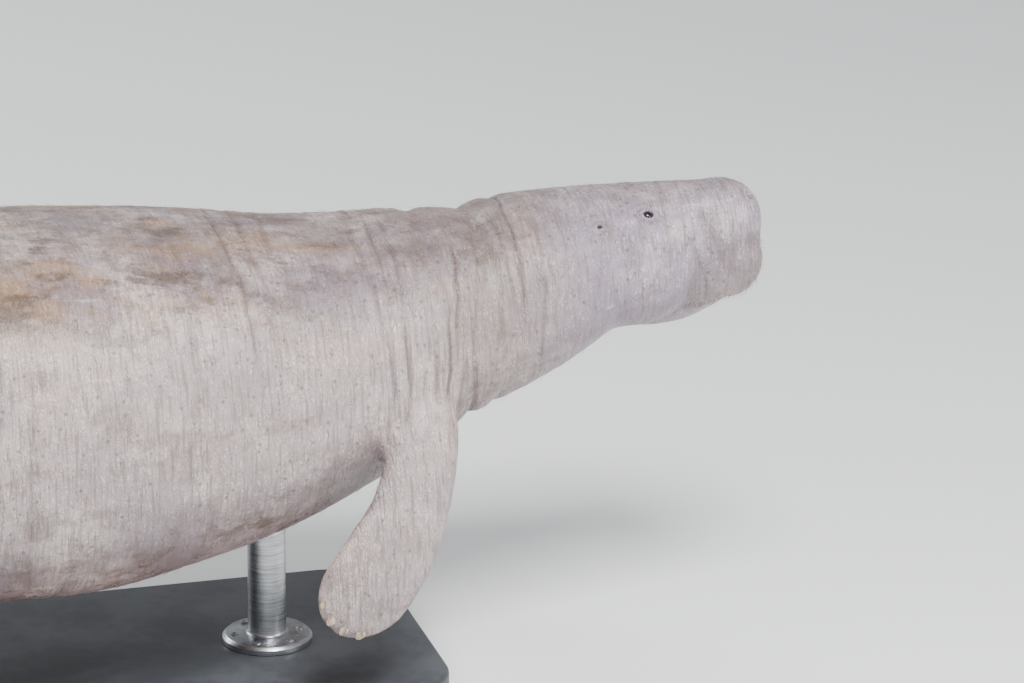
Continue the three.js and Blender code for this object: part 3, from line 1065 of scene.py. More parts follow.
    def build(self, finish: Finish) -> Piece:
        """Build the skin with its relief and the attributes that its finish and its hairs read.

        Args:
            finish: The skin's material.

        Returns:
            The finished skin.
        """
        skin = self.joined()
        self.refine(skin.data)
        mesh, relief = skin.data, self.relief
        points, normals = positions_of(mesh), normals_of(mesh)
        behind, angle = self.body.locate(points)
        limb = self.limb_share(points)
        creases = relief.crease_relief(points, behind, angle) * (1 - limb)
        pads = relief.pad_share(points)
        move = creases + relief.bulk_relief(points, behind, limb) + relief.pad_relief(points, pads)
        hollow = np.zeros(len(points))
        shift = np.zeros_like(points)
        calm = np.ones(len(points))
        for frame in relief.frames():
            along_axis, axis, mask = relief.opening_relief(points, frame)
            shift += along_axis[:, None] * axis
            hollow = np.maximum(hollow, mask)
            distance = np.linalg.norm(points - frame[0], axis=1)
            size = max(frame[2].across)
            calm = np.minimum(calm, smoothstep(size * 0.8, size * 2.6, distance))
        placed = points + normals * (move * calm)[:, None] + shift
        move_to(mesh, placed)
        # The crease and hollow masks also set where the skin's finish paints shade into the creases and the
        # openings.
        masks = {"crease": np.clip(-creases / 2.2, 0, 1), "hollow": hollow, "pads": pads, "limb": limb}
        self.mark(mesh, placed, behind, angle, masks)
        mesh.shade_smooth()
        mesh.materials.clear()
        mesh.materials.append(finish)
        return skin

    def mark(
        self, mesh: Mesh, points: Array, behind: Array, angle: Array,
        masks: dict[str, Array],
    ) -> None:
        """Store masks, the lie of the hairs and an unwrap of the skin's own shape on its mesh.

        Args:
            mesh: The skin's mesh.
            points: Its points.
            behind: Place of each point behind the muzzle.
            angle: Angle of each point round the body.
            masks: Values of each mask, by name.
        """
        limb = masks["limb"]
        normals = normals_of(mesh)
        lie = np.where(limb[:, None] > 0.5, np.array([-0.35, 0, -1.0]), np.array([-1.0, 0, -0.12]))
        lie = unit(lie - normals * np.sum(lie * normals, axis=1, keepdims=True))
        turn = (angle / (2 * math.pi)) % 1
        lengthwise, crosswise = 0.02 + 0.94 * behind / self.body.length, 0.02 + 0.6 * turn
        unwrap = np.stack([lengthwise, crosswise, np.zeros(len(turn))], axis=1)
        for form, low in zip(self.flippers, (0.66, 0.83), strict=True):
            own = (limb > 0.5) & (np.sign(points[:, 1]) == form.side.value)
            line, share = form.middle_line(self.body)
            nearest_at = np.abs(points[own, None, 2] - line[None, :, 2]).argmin(axis=1)
            offset = points[own] - line[nearest_at]
            around = np.arctan2(offset[:, 1], offset[:, 0]) / (2 * math.pi) % 1
            unwrap[own, 0] = 0.05 + 0.4 * share[nearest_at]
            unwrap[own, 1] = low + 0.14 * around
        for name, values in {**masks, "upness": normals[:, 2]}.items():
            mesh.attributes.new(name, "FLOAT", "POINT").data.foreach_set("value", values.astype(np.float32))
        for name, vectors in {"lie": lie, "unwrap": unwrap}.items():
            made = mesh.attributes.new(name, "FLOAT_VECTOR", "POINT")
            made.data.foreach_set("vector", vectors.astype(np.float32).ravel())


def shell_of(part: Piece) -> BVHTree:
    """Make a search tree of an object's faces, in millimetres."""
    corners = positions_of(part.data).tolist()
    return BVHTree.FromPolygons(corners, [tuple(face.vertices) for face in part.data.polygons])


def nearest(shell: BVHTree, points: Array, limit: float) -> Array:
    """Give the distance of points from a shell, with the limit where it is further.

    Args:
        shell: Search tree of the shell.
        points: Points in millimetres.
        limit: Greatest distance to tell.

    Returns:
        The distance of each point.
    """
    found = np.full(len(points), limit)
    on_shell = np.array(shell.find_nearest(Vector((0, 0, 0)))[0])
    close = np.linalg.norm(points - on_shell, axis=1) < SHELL_SPAN
    for i in np.nonzero(close)[0].tolist():
        hit = shell.find_nearest(Vector(points[i]), limit)
        if hit[0] is not None:
            found[i] = hit[3]
    return found


class Nodes:
    """A short way to lay nodes into a tree and to link them."""

    def __init__(self, tree: Tree) -> None:
        """Take the tree to lay nodes into."""
        self.tree = tree

    def add(self, kind: str, inputs: dict | None = None, **settings: object) -> Node:
        """Add a node.

        Args:
            kind: The node's type.
            inputs: For each input name or index, a socket to link from or a plain value.
            settings: Properties of the node.

        Returns:
            The new node.
        """
        node = self.tree.nodes.new(kind)
        for name, value in settings.items():
            setattr(node, name, value)
        self.feed(node, inputs or {})
        return node

    def feed(self, node: Node, inputs: dict) -> None:
        """Link a node's inputs from sockets, or set them to plain values.

        Args:
            node: The node.
            inputs: A socket or a plain value for each input.
        """
        for name, value in inputs.items():
            if isinstance(value, Socket):
                self.tree.links.new(value, node.inputs[name])
            else:
                node.inputs[name].default_value = value

    def use(self, effect: Tree, where: Socket, **values: object) -> Node:
        """Place a shared effect at some coordinates, with its own values."""
        return self.add("ShaderNodeGroup", {"Vector": where, **values}, node_tree=effect)

    def math(self, operation: str, first: object, second: object, clamp: bool = False) -> Socket:
        """Work with two numbers and give the result's socket."""
        inputs = {0: first, 1: second}
        return self.add("ShaderNodeMath", inputs, operation=operation, use_clamp=clamp).outputs[0]

    def times(self, first: object, second: object, clamp: bool = False) -> Socket:
        """Multiply two numbers."""
        return self.math("MULTIPLY", first, second, clamp)

    def plus(self, first: object, second: object, clamp: bool = False) -> Socket:
        """Add two numbers."""
        return self.math("ADD", first, second, clamp)

    def minus(self, first: object, second: object) -> Socket:
        """Take the second number from the first."""
        return self.math("SUBTRACT", first, second)

    def scaled(self, vector: object, scale: object) -> Socket:
        """Multiply a vector by a number."""
        return self.add("ShaderNodeVectorMath", {0: vector, "Scale": scale}, operation="SCALE").outputs[0]

    def moved(self, vector: object, by: object) -> Socket:
        """Add two vectors."""
        return self.add("ShaderNodeVectorMath", {0: vector, 1: by}, operation="ADD").outputs[0]

    def ramp(self, value: object, low: float, high: float) -> Socket:
        """Map a value to 0 at low and 1 at high, smoothly."""
        inputs = {"Value": value, "From Min": low, "From Max": high}
        return self.add("ShaderNodeMapRange", inputs, interpolation_type="SMOOTHSTEP").outputs["Result"]

    def mix(self, share: object, first: object, second: object) -> Socket:
        """Mix two colours and give the result's socket."""
        node = self.add("ShaderNodeMix", data_type="RGBA", blend_type="MIX", clamp_factor=True)
        self.feed(node, {0: share, 6: first, 7: second})
        return node.outputs[2]

    def noise(
        self, where: Socket, scale: object, detail: float = 4, rough: float = 0.55
    ) -> Socket:
        """Lay a noise and give its value's socket."""
        inputs = {"Vector": where, "Scale": scale, "Detail": detail, "Roughness": rough}
        return self.add("ShaderNodeTexNoise", inputs).outputs[0]

    def stretched(
        self, where: Socket, scale: Triple, turn: Triple = (0, 0, 0)
    ) -> Socket:
        """Stretch coordinates and give the result's socket."""
        return self.add("ShaderNodeMapping", {"Vector": where, "Scale": scale, "Rotation": turn}).outputs[0]

    def stored(self, name: str, kind: str = "FLOAT_VECTOR") -> Socket:
        """Read a named attribute of the geometry."""
        return self.add("GeometryNodeInputNamedAttribute", {"Name": name}, data_type=kind).outputs[0]


class Effects:
    """Shader groups that more than one finish uses, each built once."""

    @staticmethod
    def group(name: str, inputs: dict[str, object], outputs: dict[str, str]) -> Nodes | None:
        """Start a shader group, or give nothing where it is there already.

        Args:
            name: Name of the group.
            inputs: First value of each input, as a number or a colour, after the coordinates.
            outputs: Kind of each output.

        Returns:
            The group's nodes.
        """
        if name in bpy.data.node_groups:
            return None
        tree = bpy.data.node_groups.new(name, "ShaderNodeTree")
        tree.interface.new_socket("Vector", in_out="INPUT", socket_type="NodeSocketVector")
        for label, value in inputs.items():
            kind = "NodeSocketColor" if isinstance(value, tuple) else "NodeSocketFloat"
            tree.interface.new_socket(label, in_out="INPUT", socket_type=kind).default_value = value
        for label, kind in outputs.items():
            tree.interface.new_socket(label, in_out="OUTPUT", socket_type=f"NodeSocket{kind}")
        return Nodes(tree)

    @classmethod
    def mottling(cls) -> Tree:
        """Blotches in two sizes between two colours.

        Returns:
            The shader group.
        """
        name = "Mottling"
        inputs = {"Scale": 8.0, "Light": (0.5, 0.5, 0.5, 1), "Dark": (0.2, 0.2, 0.2, 1), "Share": 0.5}
        laid = cls.group(name, inputs, {"Color": "Color", "Mask": "Float"})
        if laid:
            given = laid.add("NodeGroupInput").outputs
            large = laid.noise(given["Vector"], given["Scale"], 5.0, 0.5)
            small = laid.noise(given["Vector"], laid.times(given["Scale"], 5.3), 3.0, 0.5)
            both = laid.plus(laid.times(large, 0.7), laid.times(small, 0.3))
            mask = laid.ramp(laid.minus(laid.plus(both, given["Share"]), 0.5), 0.38, 0.62)
            colour = laid.mix(mask, given["Light"], given["Dark"])
            laid.add("NodeGroupOutput", {"Color": colour, "Mask": mask})
        return bpy.data.node_groups[name]

    @classmethod
    def fine_grain(cls) -> Tree:
        """Fine grain as a height and as a roughness change, stretched as the maker asks.

        Returns:
            The shader group.
        """
        name = "Fine grain"
        inputs = {"Scale": 200.0, "Roughness": 0.4, "Spread": 0.1}
        laid = cls.group(name, inputs, {"Height": "Float", "Roughness": "Float"})
        if laid:
            given = laid.add("NodeGroupInput").outputs
            grain = laid.noise(given["Vector"], given["Scale"], 4.0, 0.5)
            swing = laid.times(laid.minus(grain, 0.5), given["Spread"])
            rough = laid.plus(given["Roughness"], laid.times(swing, 2.0), clamp=True)
            laid.add("NodeGroupOutput", {"Height": grain, "Roughness": rough})
        return bpy.data.node_groups[name]

    @classmethod
    def crackle(cls) -> Tree:
        """A net of fine lines, as a height that is low in the lines.

        Returns:
            The shader group.
        """
        name = "Crackle"
        laid = cls.group(name, {"Scale": 100.0, "Width": 0.12}, {"Height": "Float"})
        if laid:
            given = laid.add("NodeGroupInput").outputs
            wobble = laid.add("ShaderNodeTexNoise", {"Vector": given["Vector"], "Scale": 48.0, "Detail": 3.0})
            moved = laid.moved(given["Vector"], laid.scaled(wobble.outputs[1], 0.03))
            inputs = {"Vector": moved, "Scale": given["Scale"]}
            cells = laid.add("ShaderNodeTexVoronoi", inputs, feature="DISTANCE_TO_EDGE")
            height = laid.math("DIVIDE", cells.outputs["Distance"], given["Width"], clamp=True)
            laid.add("NodeGroupOutput", {"Height": height})
        return bpy.data.node_groups[name]


def new_material(name: str) -> tuple[Finish, Nodes, Node]:
    """Start a material with a plain shader.

    Args:
        name: Name of the material.

    Returns:
        The material, its nodes and its shader node.
    """
    material = bpy.data.materials.new(name)
    material.use_nodes = True
    laid = Nodes(material.node_tree)
    return material, laid, material.node_tree.nodes["Principled BSDF"]


@dataclass(frozen=True)
class SkinFinish:
    """Wet grey-brown skin with stains and a net of fine darker lines that is partly painted shade, with
    painted shade in the creases, in the valleys of the fine wrinkles, in the openings, on the top of the back
    and on the underside, and painted light on the flanks.
    """

    pale: Colour = srgb(208, 191, 189)
    lilac: Colour = srgb(138, 124, 136)
    taupe: Colour = srgb(108, 94, 86)
    brown: Colour = srgb(72, 54, 42)
    ochre: Colour = srgb(176, 134, 84)
    # Painted shade of the underside, in a rosy tone.
    rosy: Colour = srgb(170, 136, 128)
    head_tint: Colour = srgb(184, 174, 200)
    # Painted light: the lighter colour of the lit flanks.
    flank_tint: Colour = srgb(218, 202, 200)
    scar: Colour = srgb(222, 212, 208)
    # Painted shade: near black inside the eye, ear and nostril openings.
    hollow: Colour = srgb(20, 13, 12)
    coat_weight: float = 0.12
    coat_roughness: float = 0.3

    def build(self) -> Finish:
        """Lay the material's nodes and give the material.

        Returns:
            The material.
        """
        material, laid, shader = new_material("wet_skin")
        where = laid.add("ShaderNodeTexCoord").outputs["Object"]
        attribute = {
            name: laid.add("ShaderNodeAttribute", attribute_name=name).outputs["Fac"]
            for name in ("crease", "hollow", "pads", "limb", "upness")
        }
        colour = self.colours(laid, where, attribute)
        height, lines, striae = self.heights(laid, where)
        # Darker brown in the net of fine lines: partly the skin's own lines, partly painted shade in their
        # grooves.
        colour = laid.mix(laid.times(laid.minus(1.0, lines), 0.36), colour, self.brown)
        # Painted shade: taupe in the valleys of the fine cross wrinkles, where their height is low.
        colour = laid.mix(laid.times(laid.ramp(striae, 0.52, 0.36), 0.5), colour, self.taupe)
        # Painted shade: darker brown in the creases, as deep as the creases are.
        colour = laid.mix(laid.times(attribute["crease"], 0.8), colour, self.brown)
        # Painted shade: near black in the hollows of the eye, ear and nostril openings.
        colour = laid.mix(attribute["hollow"], colour, self.hollow)
        grain = laid.use(Effects.fine_grain(), where, Scale=16.0, Roughness=0.34, Spread=0.42)
        bump = laid.add("ShaderNodeBump", {"Height": height, "Strength": 0.9, "Distance": 0.0042})
        laid.feed(
            shader,
            {
                "Base Color": colour,
                "Roughness": grain.outputs["Roughness"],
                "Normal": bump.outputs[0],
                "Coat Weight": self.coat_weight,
                "Coat Roughness": self.coat_roughness,
            },
        )
        return material

    def colours(
        self, laid: Nodes, where: Socket, attribute: dict[str, Socket]
    ) -> Socket:
        """Lay the skin's blotches and stains, with painted light on the flanks and painted shade on the top
        of the back and on the underside, and give their colour.

        Args:
            laid: The nodes to lay into.
            where: Coordinates to read.
            attribute: The skin's attributes, by name.

        Returns:
            The colour's socket.
        """
        tones = {"Light": self.pale, "Dark": self.lilac, "Share": 0.52}
        colour = laid.use(Effects.mottling(), where, Scale=5.0, **tones).outputs["Color"]
        fine = laid.use(Effects.mottling(), laid.stretched(where, (1.0, 1.6, 1.6)), Scale=24.0, Share=0.44)
        colour = laid.mix(laid.times(fine.outputs["Mask"], 0.72), colour, self.taupe)
        lengthwise = laid.add("ShaderNodeSeparateXYZ", {0: where}).outputs[0]
        upness = attribute["upness"]
        rear = laid.ramp(lengthwise, 1.02, 0.5)
        nape = laid.times(laid.ramp(lengthwise, 0.8, 0.93), laid.ramp(lengthwise, 1.16, 0.98))
        back = laid.ramp(upness, -0.2, 0.75)
        places = laid.plus(rear, laid.times(nape, 0.7), clamp=True)
        ochre = laid.noise(laid.stretched(where, (1.0, 1.5, 1.5)), 5.5, 6, 0.62)
        ochre = laid.times(laid.times(laid.ramp(ochre, 0.46, 0.66), places), back)
        colour = laid.mix(laid.times(ochre, 0.68), colour, self.ochre)
        dark = laid.noise(laid.stretched(where, (1.0, 1.7, 1.7), (0.3, 0.2, 0.4)), 9.0, 9, 0.72)
        dark = laid.times(laid.ramp(dark, 0.49, 0.64), laid.plus(laid.times(places, 0.62), 0.3))
        colour = laid.mix(laid.times(dark, 0.9), colour, self.brown)
        # Painted shade: the underside darker and rosier.
        colour = laid.mix(laid.times(laid.ramp(upness, -0.25, -0.95), 0.4), colour, self.rosy)
        head = laid.ramp(lengthwise, 0.95, 1.2)
        colour = laid.mix(laid.times(head, 0.34), colour, self.head_tint)
        # Painted light: the flanks lighter, where the light falls on them.
        flank = laid.times(laid.ramp(upness, 0.92, 0.5), laid.ramp(upness, -0.6, 0.0))
        flank = laid.times(flank, laid.minus(1.0, head))
        colour = laid.mix(laid.times(flank, 0.46), colour, self.flank_tint)
        # Painted shade: the top of the back darker taupe.
        colour = laid.mix(laid.times(laid.ramp(upness, 0.82, 0.99), 0.22), colour, self.taupe)
        colour = laid.mix(laid.times(nape, 0.3), colour, self.taupe)
        spots = laid.add("ShaderNodeTexVoronoi", {"Vector": where, "Scale": 46.0}).outputs["Distance"]
        colour = laid.mix(laid.times(laid.ramp(spots, 0.22, 0.08), 0.5), colour, self.brown)
        scars = laid.noise(laid.stretched(where, (3.0, 26.0, 26.0), (0.5, 0.9, 0.35)), 1.6, 2, 0.4)
        colour = laid.mix(laid.times(laid.ramp(scars, 0.73, 0.77), 0.45), colour, self.scar)
        return laid.mix(laid.times(attribute["pads"], 0.35), colour, self.taupe)

    def heights(
        self, laid: Nodes, where: Socket
    ) -> tuple[Socket, Socket, Socket]:
        """Lay the fine relief and give its height, the net of lines and the striae in it.

        Args:
            laid: The nodes to lay into.
            where: Coordinates to read.

        Returns:
            Sockets of the height, the lines and the striae.
        """
        net = laid.use(Effects.crackle(), laid.stretched(where, (1.5, 0.8, 0.8)), Scale=120.0, Width=0.2)
        wide = laid.use(Effects.crackle(), laid.stretched(where, (1.9, 0.7, 0.7)), Scale=34.0, Width=0.16)
        lines = laid.times(net.outputs["Height"], wide.outputs["Height"])
        across = laid.noise(laid.stretched(where, (190.0, 16.0, 16.0)), 1.0, 4, 0.6)
        pores = laid.noise(where, 420.0, 3, 0.6)
        total = laid.plus(laid.times(lines, 0.25), laid.times(across, 0.9))
        return laid.plus(total, laid.times(pores, 0.22)), lines, across


@dataclass(frozen=True)
class EyeFinish:
    """A small dark wet eye with a brown iris round a black pupil."""

    pupil: Colour = srgb(6, 5, 5)
    iris: Colour = srgb(44, 29, 20)
    white: Colour = srgb(58, 46, 42)

    def build(self) -> Finish:
        """Lay the material's nodes and give the material.

        Returns:
            The material.
        """
        material, laid, shader = new_material("wet_eye")
        gaze = laid.add("ShaderNodeAttribute", attribute_name="gaze").outputs["Fac"]
        where = laid.add("ShaderNodeTexCoord").outputs["Object"]
        streaks = laid.noise(where, 900.0, 3, 0.6)
        iris = laid.mix(streaks, self.iris, self.pupil)
        colour = laid.mix(laid.ramp(gaze, 0.8, 0.83), self.white, iris)
        colour = laid.mix(laid.ramp(gaze, 0.93, 0.945), colour, self.pupil)
        gloss = {"Roughness": 0.16, "Coat Weight": 0.35, "Coat Roughness": 0.03}
        laid.feed(shader, {"Base Color": colour, **gloss})
        return material


@dataclass(frozen=True)
class HornFinish:
    """Worn horn of the nails."""

    light: Colour = srgb(188, 172, 150)
    dark: Colour = srgb(120, 100, 82)

    def build(self) -> Finish:
        """Lay the material's nodes and give the material.

        Returns:
            The material.
        """
        material, laid, shader = new_material("nail_horn")
        where = laid.add("ShaderNodeTexCoord").outputs["Object"]
        tones = {"Light": self.light, "Dark": self.dark}
        spots = laid.use(Effects.mottling(), laid.stretched(where, (1.0, 1.0, 0.3)), Scale=160.0, **tones)
        grain = laid.use(Effects.fine_grain(), where, Scale=600.0).outputs
        bump = laid.add("ShaderNodeBump", {"Height": grain["Height"], "Strength": 0.4, "Distance": 0.0006})
        laid.feed(shader, {"Base Color": spots.outputs["Color"], "Roughness": grain["Roughness"]})
        laid.feed(shader, {"Normal": bump.outputs[0]})
        return material


@dataclass(frozen=True)
class HairFinish:
    """Fine hair or bristle, its colour mixed between a root and a tip colour by a noise."""

    name: str
    root: Colour
    tip: Colour

    def build(self) -> Finish:
        """Lay the material's nodes and give the material.

        Returns:
            The material.
        """
        material, laid, shader = new_material(self.name)
        where = laid.add("ShaderNodeTexCoord").outputs["Object"]
        colour = laid.mix(laid.noise(where, 40.0), self.root, self.tip)
        laid.feed(shader, {"Base Color": colour, "Roughness": 0.45})
        return material


@dataclass(frozen=True)
class PaintFinish:
    """Satin dark paint of the stand's base, with a fine grain."""

    light: Colour = srgb(70, 73, 77)
    dark: Colour = srgb(54, 57, 61)

    def build(self) -> Finish:
        """Lay the material's nodes and give the material.

        Returns:
            The material.
        """
        material, laid, shader = new_material("stand_paint")
        where = laid.add("ShaderNodeTexCoord").outputs["Object"]
        tones = {"Light": self.light, "Dark": self.dark}
        tone = laid.use(Effects.mottling(), where, Scale=7.0, **tones)
        grain = laid.use(Effects.fine_grain(), where, Scale=700.0, Roughness=0.5, Spread=0.12).outputs
        bump = laid.add("ShaderNodeBump", {"Height": grain["Height"], "Strength": 0.25, "Distance": 0.0005})
        laid.feed(shader, {"Base Color": tone.outputs["Color"], "Roughness": grain["Roughness"]})
        laid.feed(shader, {"Normal": bump.outputs[0]})
        return material


@dataclass(frozen=True)
class SteelFinish:
    """Brushed steel, with its grain round the rod."""

    name: str = "brushed_rod"
    light: Colour = srgb(196, 198, 201)
    dark: Colour = srgb(150, 153, 157)

    def build(self) -> Finish:
        """Lay the material's nodes and give the material.

        Returns:
            The material.
        """
        material, laid, shader = new_material(self.name)
        where = laid.add("ShaderNodeTexCoord").outputs["Object"]
        brushed = laid.stretched(where, (1.0, 1.0, 40.0))
        tones = {"Light": self.light, "Dark": self.dark}
        tone = laid.use(Effects.mottling(), brushed, Scale=14.0, **tones)
        grain = laid.use(Effects.fine_grain(), brushed, Scale=60.0, Roughness=0.32, Spread=0.16).outputs
        laid.feed(shader, {"Base Color": tone.outputs["Color"], "Roughness": grain["Roughness"]})
        laid.feed(shader, {"Metallic": 1.0})
        return material


@dataclass
class Eyes:
    """The two eyeballs, sunk under their lids."""

    relief: Relief
    cornea: float = 0.9
    play: float = 0.35
    rings: int = 28
    around: int = 40

    def build(self, finish: Finish) -> list[Piece]:
        """Build both eyes and give them.

        Args:
            finish: Material of the eyes.

        Returns:
            The eyeballs.
        """
        made = []
        senses = self.relief.senses
        for side in Side:
            point, outward = self.relief.flank_frame(senses.eye_place, side)
            centre = point - outward * senses.eye_sunk
            turn, angles = pole_angles(self.rings), round_angles(self.around)
            first = unit(np.cross(outward, np.array([0.0, 0, 1.0])))
            second = np.cross(outward, first)
            gaze = np.cos(turn)
            size = senses.eye_radius - self.play
            radius = size + self.cornea * smoothstep(0.72, 0.95, gaze) - self.cornea * 0.6
            ring = first * np.cos(angles)[:, None] + second * np.sin(angles)[:, None]
            rings = ring[None] * (np.sin(turn) * radius)[:, None, None]
            rings = rings + outward * (gaze * radius)[:, None, None]
            top = centre + outward * (size + self.cornea * 0.4)
            bottom = centre - outward * (size - self.cornea * 0.6)
            eye = loft_object(f"eyeball_{side.word}", top, centre + rings, bottom)
            values = np.concatenate([[1.0], np.repeat(gaze, self.around), [-1.0]]).astype(np.float32)
            eye.data.attributes.new("gaze", "FLOAT", "POINT").data.foreach_set("value", values)
            eye.data.materials.append(finish)
            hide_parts(f"eye_{side.word}")
            made.append(eye)
        return made


@dataclass
class Nails:
    """The four nails on the end of each flipper."""

    body: BodyForm
    flippers: tuple[FlipperForm, ...]
    across: tuple[float, ...] = (-0.58, -0.2, 0.18, 0.56)
    radii: Triple = (11, 8, 4)
    inset: float = 13
    ridges: float = 0.35
    rings: int = 14
    around: int = 28

    def nail(self, form: FlipperForm, share: float, name: str) -> Piece:
        """Make one nail: a small ridged shield that lies on the flipper's outer face.

        Args:
            form: The flipper.
            share: Place across the tip, from -1 at the trailing to 1 at the leading side.
            name: Name of the nail.

        Returns:
            The nail.
        """
        to_edge = (1 - abs(share) ** form.tip_power) ** (1 / form.tip_power)
        u = 1 - form.tip_rounding * (1 - to_edge) - self.inset / form.length()
        angle = math.acos(share / float(rounded_end(np.array(1 - u), form.tip_rounding, form.tip_power)))
        point = form.surface(self.body, np.array(u), np.array(angle))
        _, forward, face = form.frame_at(self.body, np.array(u))
        lengthwise = np.cross(forward, face)
        if lengthwise[2] > 0:
            lengthwise = -lengthwise
        turn, angles = pole_angles(self.rings), round_angles(self.around)
        x = np.cos(turn)[:, None] * np.ones(self.around)
        y = np.sin(turn)[:, None] * np.sign(np.cos(angles)) * np.abs(np.cos(angles)) ** 0.85
        z = np.sin(turn)[:, None] * np.sin(angles)
        z = z + self.ridges / self.radii[2] * np.cos(y * 14) * np.clip(z, 0, 1)
        width = self.radii[1] * (1 - 0.16 * x)
        local = x[..., None] * lengthwise * self.radii[0] + (y * width)[..., None] * forward
        rings = point + local + (z * self.radii[2])[..., None] * face
        reach = lengthwise * self.radii[0]
        return loft_object(name, point + reach, rings, point - reach)

    def build(self, finish: Finish) -> list[Piece]:
        """Build all nails and give them.

        Args:
            finish: Material of the nails.

        Returns:
            The nails.
        """
        made = []
        for form in self.flippers:
            for number, share in enumerate(self.across, 1):
                nail = self.nail(form, share, f"claw_{form.side.word}_{number}")
                nail.data.materials.append(finish)
                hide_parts(f"nail_{form.side.word}_{number}")
                made.append(nail)
        return made


@dataclass(frozen=True)
class Coat:
    """Single hairs or bristles, spread over the skin by geometry nodes.

    Attributes:
        name: Name of the piece.
        on_pads: Whether they grow on the pads of the lips, or else everywhere but there.
        density: Hairs for each square metre.
        spacing: Least distance between two, in metres.
        length: Shortest and longest, in metres.
        radius: Radius at the root, in metres.
        stand: How far a hair stands up from the skin against lying along it.
        bend: How far its tip bends over, in metres.
        seed: Seed of the spread.
        patch: Size of each hair's patch in the unwrap.
        tip_radius: Radius at the tip, in metres.
    """

    name: str
    on_pads: bool
    density: float
    spacing: float
    length: tuple[float, float]
    radius: float
    stand: float
    bend: float
    seed: int
    patch: float = 0.003
    tip_radius: float = 0.00004

    def tree(self, finish: Finish) -> Tree:
        """Build the node tree that grows the hairs, with named inputs for its sizes.

        Args:
            finish: Material of the hairs.

        Returns:
            The node tree.
        """
        sizes = ("Density", "Spacing", "Shortest", "Longest", "Root Radius", "Stand", "Bend", "Patch")
        laid = geometry_tree(f"{self.name} growth", {**dict.fromkeys(sizes, "Float"), "Seed": "Int"})
        given = laid.add("NodeGroupInput").outputs
        spread = laid.add(
            "GeometryNodeDistributePointsOnFaces",
            {
                "Mesh": given["Geometry"],
                "Distance Min": given["Spacing"],
                "Density Max": given["Density"],
                "Density Factor": self.mask_socket(laid),
                "Seed": given["Seed"],
            },
            distribute_method="POISSON",
        )
        hair = self.hair(laid, given)
        direction = self.direction(laid, given, spread.outputs["Normal"])
        upright = laid.add("FunctionNodeAlignRotationToVector", {"Vector": direction}, axis="Z").outputs[0]
        inputs = {"Rotation": upright, "Vector": laid.stored("lie")}
        turned = laid.add("FunctionNodeAlignRotationToVector", inputs, axis="X", pivot_axis="Z").outputs[0]
        length = laid.add("FunctionNodeRandomValue", data_type="FLOAT")
        laid.feed(length, {2: given["Shortest"], 3: given["Longest"], "Seed": given["Seed"]})
        size = laid.add("ShaderNodeCombineXYZ", {0: 1.0, 1: 1.0, 2: length.outputs[1]}).outputs[0]
        planted = laid.add(
            "GeometryNodeInstanceOnPoints",
            {"Points": spread.outputs["Points"], "Instance": hair, "Rotation": turned, "Scale": size},
        ).outputs[0]
        real = laid.add("GeometryNodeRealizeInstances", {"Geometry": planted}).outputs[0]
        mapped = self.mapped(laid, given, real)
        smooth = laid.add("GeometryNodeSetShadeSmooth", {"Geometry": mapped}).outputs[0]
        finished = laid.add("GeometryNodeSetMaterial", {"Geometry": smooth, "Material": finish}).outputs[0]
        laid.add("NodeGroupOutput", {"Geometry": finished})
        return laid.tree

    def mask_socket(self, laid: Nodes) -> Socket:
        """Give the share of hairs that grow at each point of the skin."""
        pads = laid.stored("pads", "FLOAT")
        own = pads if self.on_pads else laid.minus(1.0, pads)
        clear = laid.minus(1.0, laid.times(laid.stored("hollow", "FLOAT"), 4.0, clamp=True))
        return laid.times(own, clear)

    def hair(self, laid: Nodes, given: Sockets) -> Socket:
        """Lay one hair of unit length: a slim cone that bends over, with its own patch coordinates.

        Args:
            laid: The nodes to lay into.
            given: The tree's inputs.

        Returns:
            The hair's socket.
        """
        cone = laid.add(
            "GeometryNodeMeshCone",
            {
                "Vertices": 3,
                "Side Segments": 3,
                "Radius Top": self.tip_radius,
                "Radius Bottom": given["Root Radius"],
                "Depth": 1.0,
            },
            fill_type="NGON",
        ).outputs[0]
        place = laid.add("GeometryNodeInputPosition").outputs[0]
        wide = laid.math("DIVIDE", 0.5, given["Root Radius"])
        flat = laid.scaled(place, wide)
        patched = laid.add(
            "GeometryNodeStoreNamedAttribute",
            {"Geometry": cone, "Name": "patch", "Value": flat},
            data_type="FLOAT_VECTOR",
            domain="POINT",
        ).outputs[0]
        apart = laid.add("ShaderNodeSeparateXYZ", {0: place})
        lean = laid.times(laid.times(apart.outputs[2], apart.outputs[2]), given["Bend"])
        offset = laid.add("ShaderNodeCombineXYZ", {0: lean}).outputs[0]
        return laid.add("GeometryNodeSetPosition", {"Geometry": patched, "Offset": offset}).outputs[0]

    def direction(
        self, laid: Nodes, given: Sockets, normal: Socket
    ) -> Socket:
        """Give the direction in which each hair stands, with a little scatter."""
        low, high = (-0.22, -0.22, -0.22), (0.22, 0.22, 0.22)
        scatter = laid.add("FunctionNodeRandomValue", {0: low, 1: high}, data_type="FLOAT_VECTOR").outputs[0]
        both = laid.moved(laid.scaled(normal, given["Stand"]), laid.stored("lie"))
        return laid.moved(both, scatter)

    def mapped(
        self, laid: Nodes, given: Sockets, geometry: Socket
    ) -> Socket:
        """Give every hair a small patch of the unwrap, at its root's place on the skin's own shape.

        Args:
            laid: The nodes to lay into.
            given: The tree's inputs.
            geometry: The grown hairs.

        Returns:
            The mapped hairs' socket.
        """
        value = laid.moved(laid.stored("unwrap"), laid.scaled(laid.stored("patch"), given["Patch"]))
        return laid.add(
            "GeometryNodeStoreNamedAttribute",
            {"Geometry": geometry, "Name": "OFBake", "Value": value},
            data_type="FLOAT2",
            domain="CORNER",
        ).outputs[0]

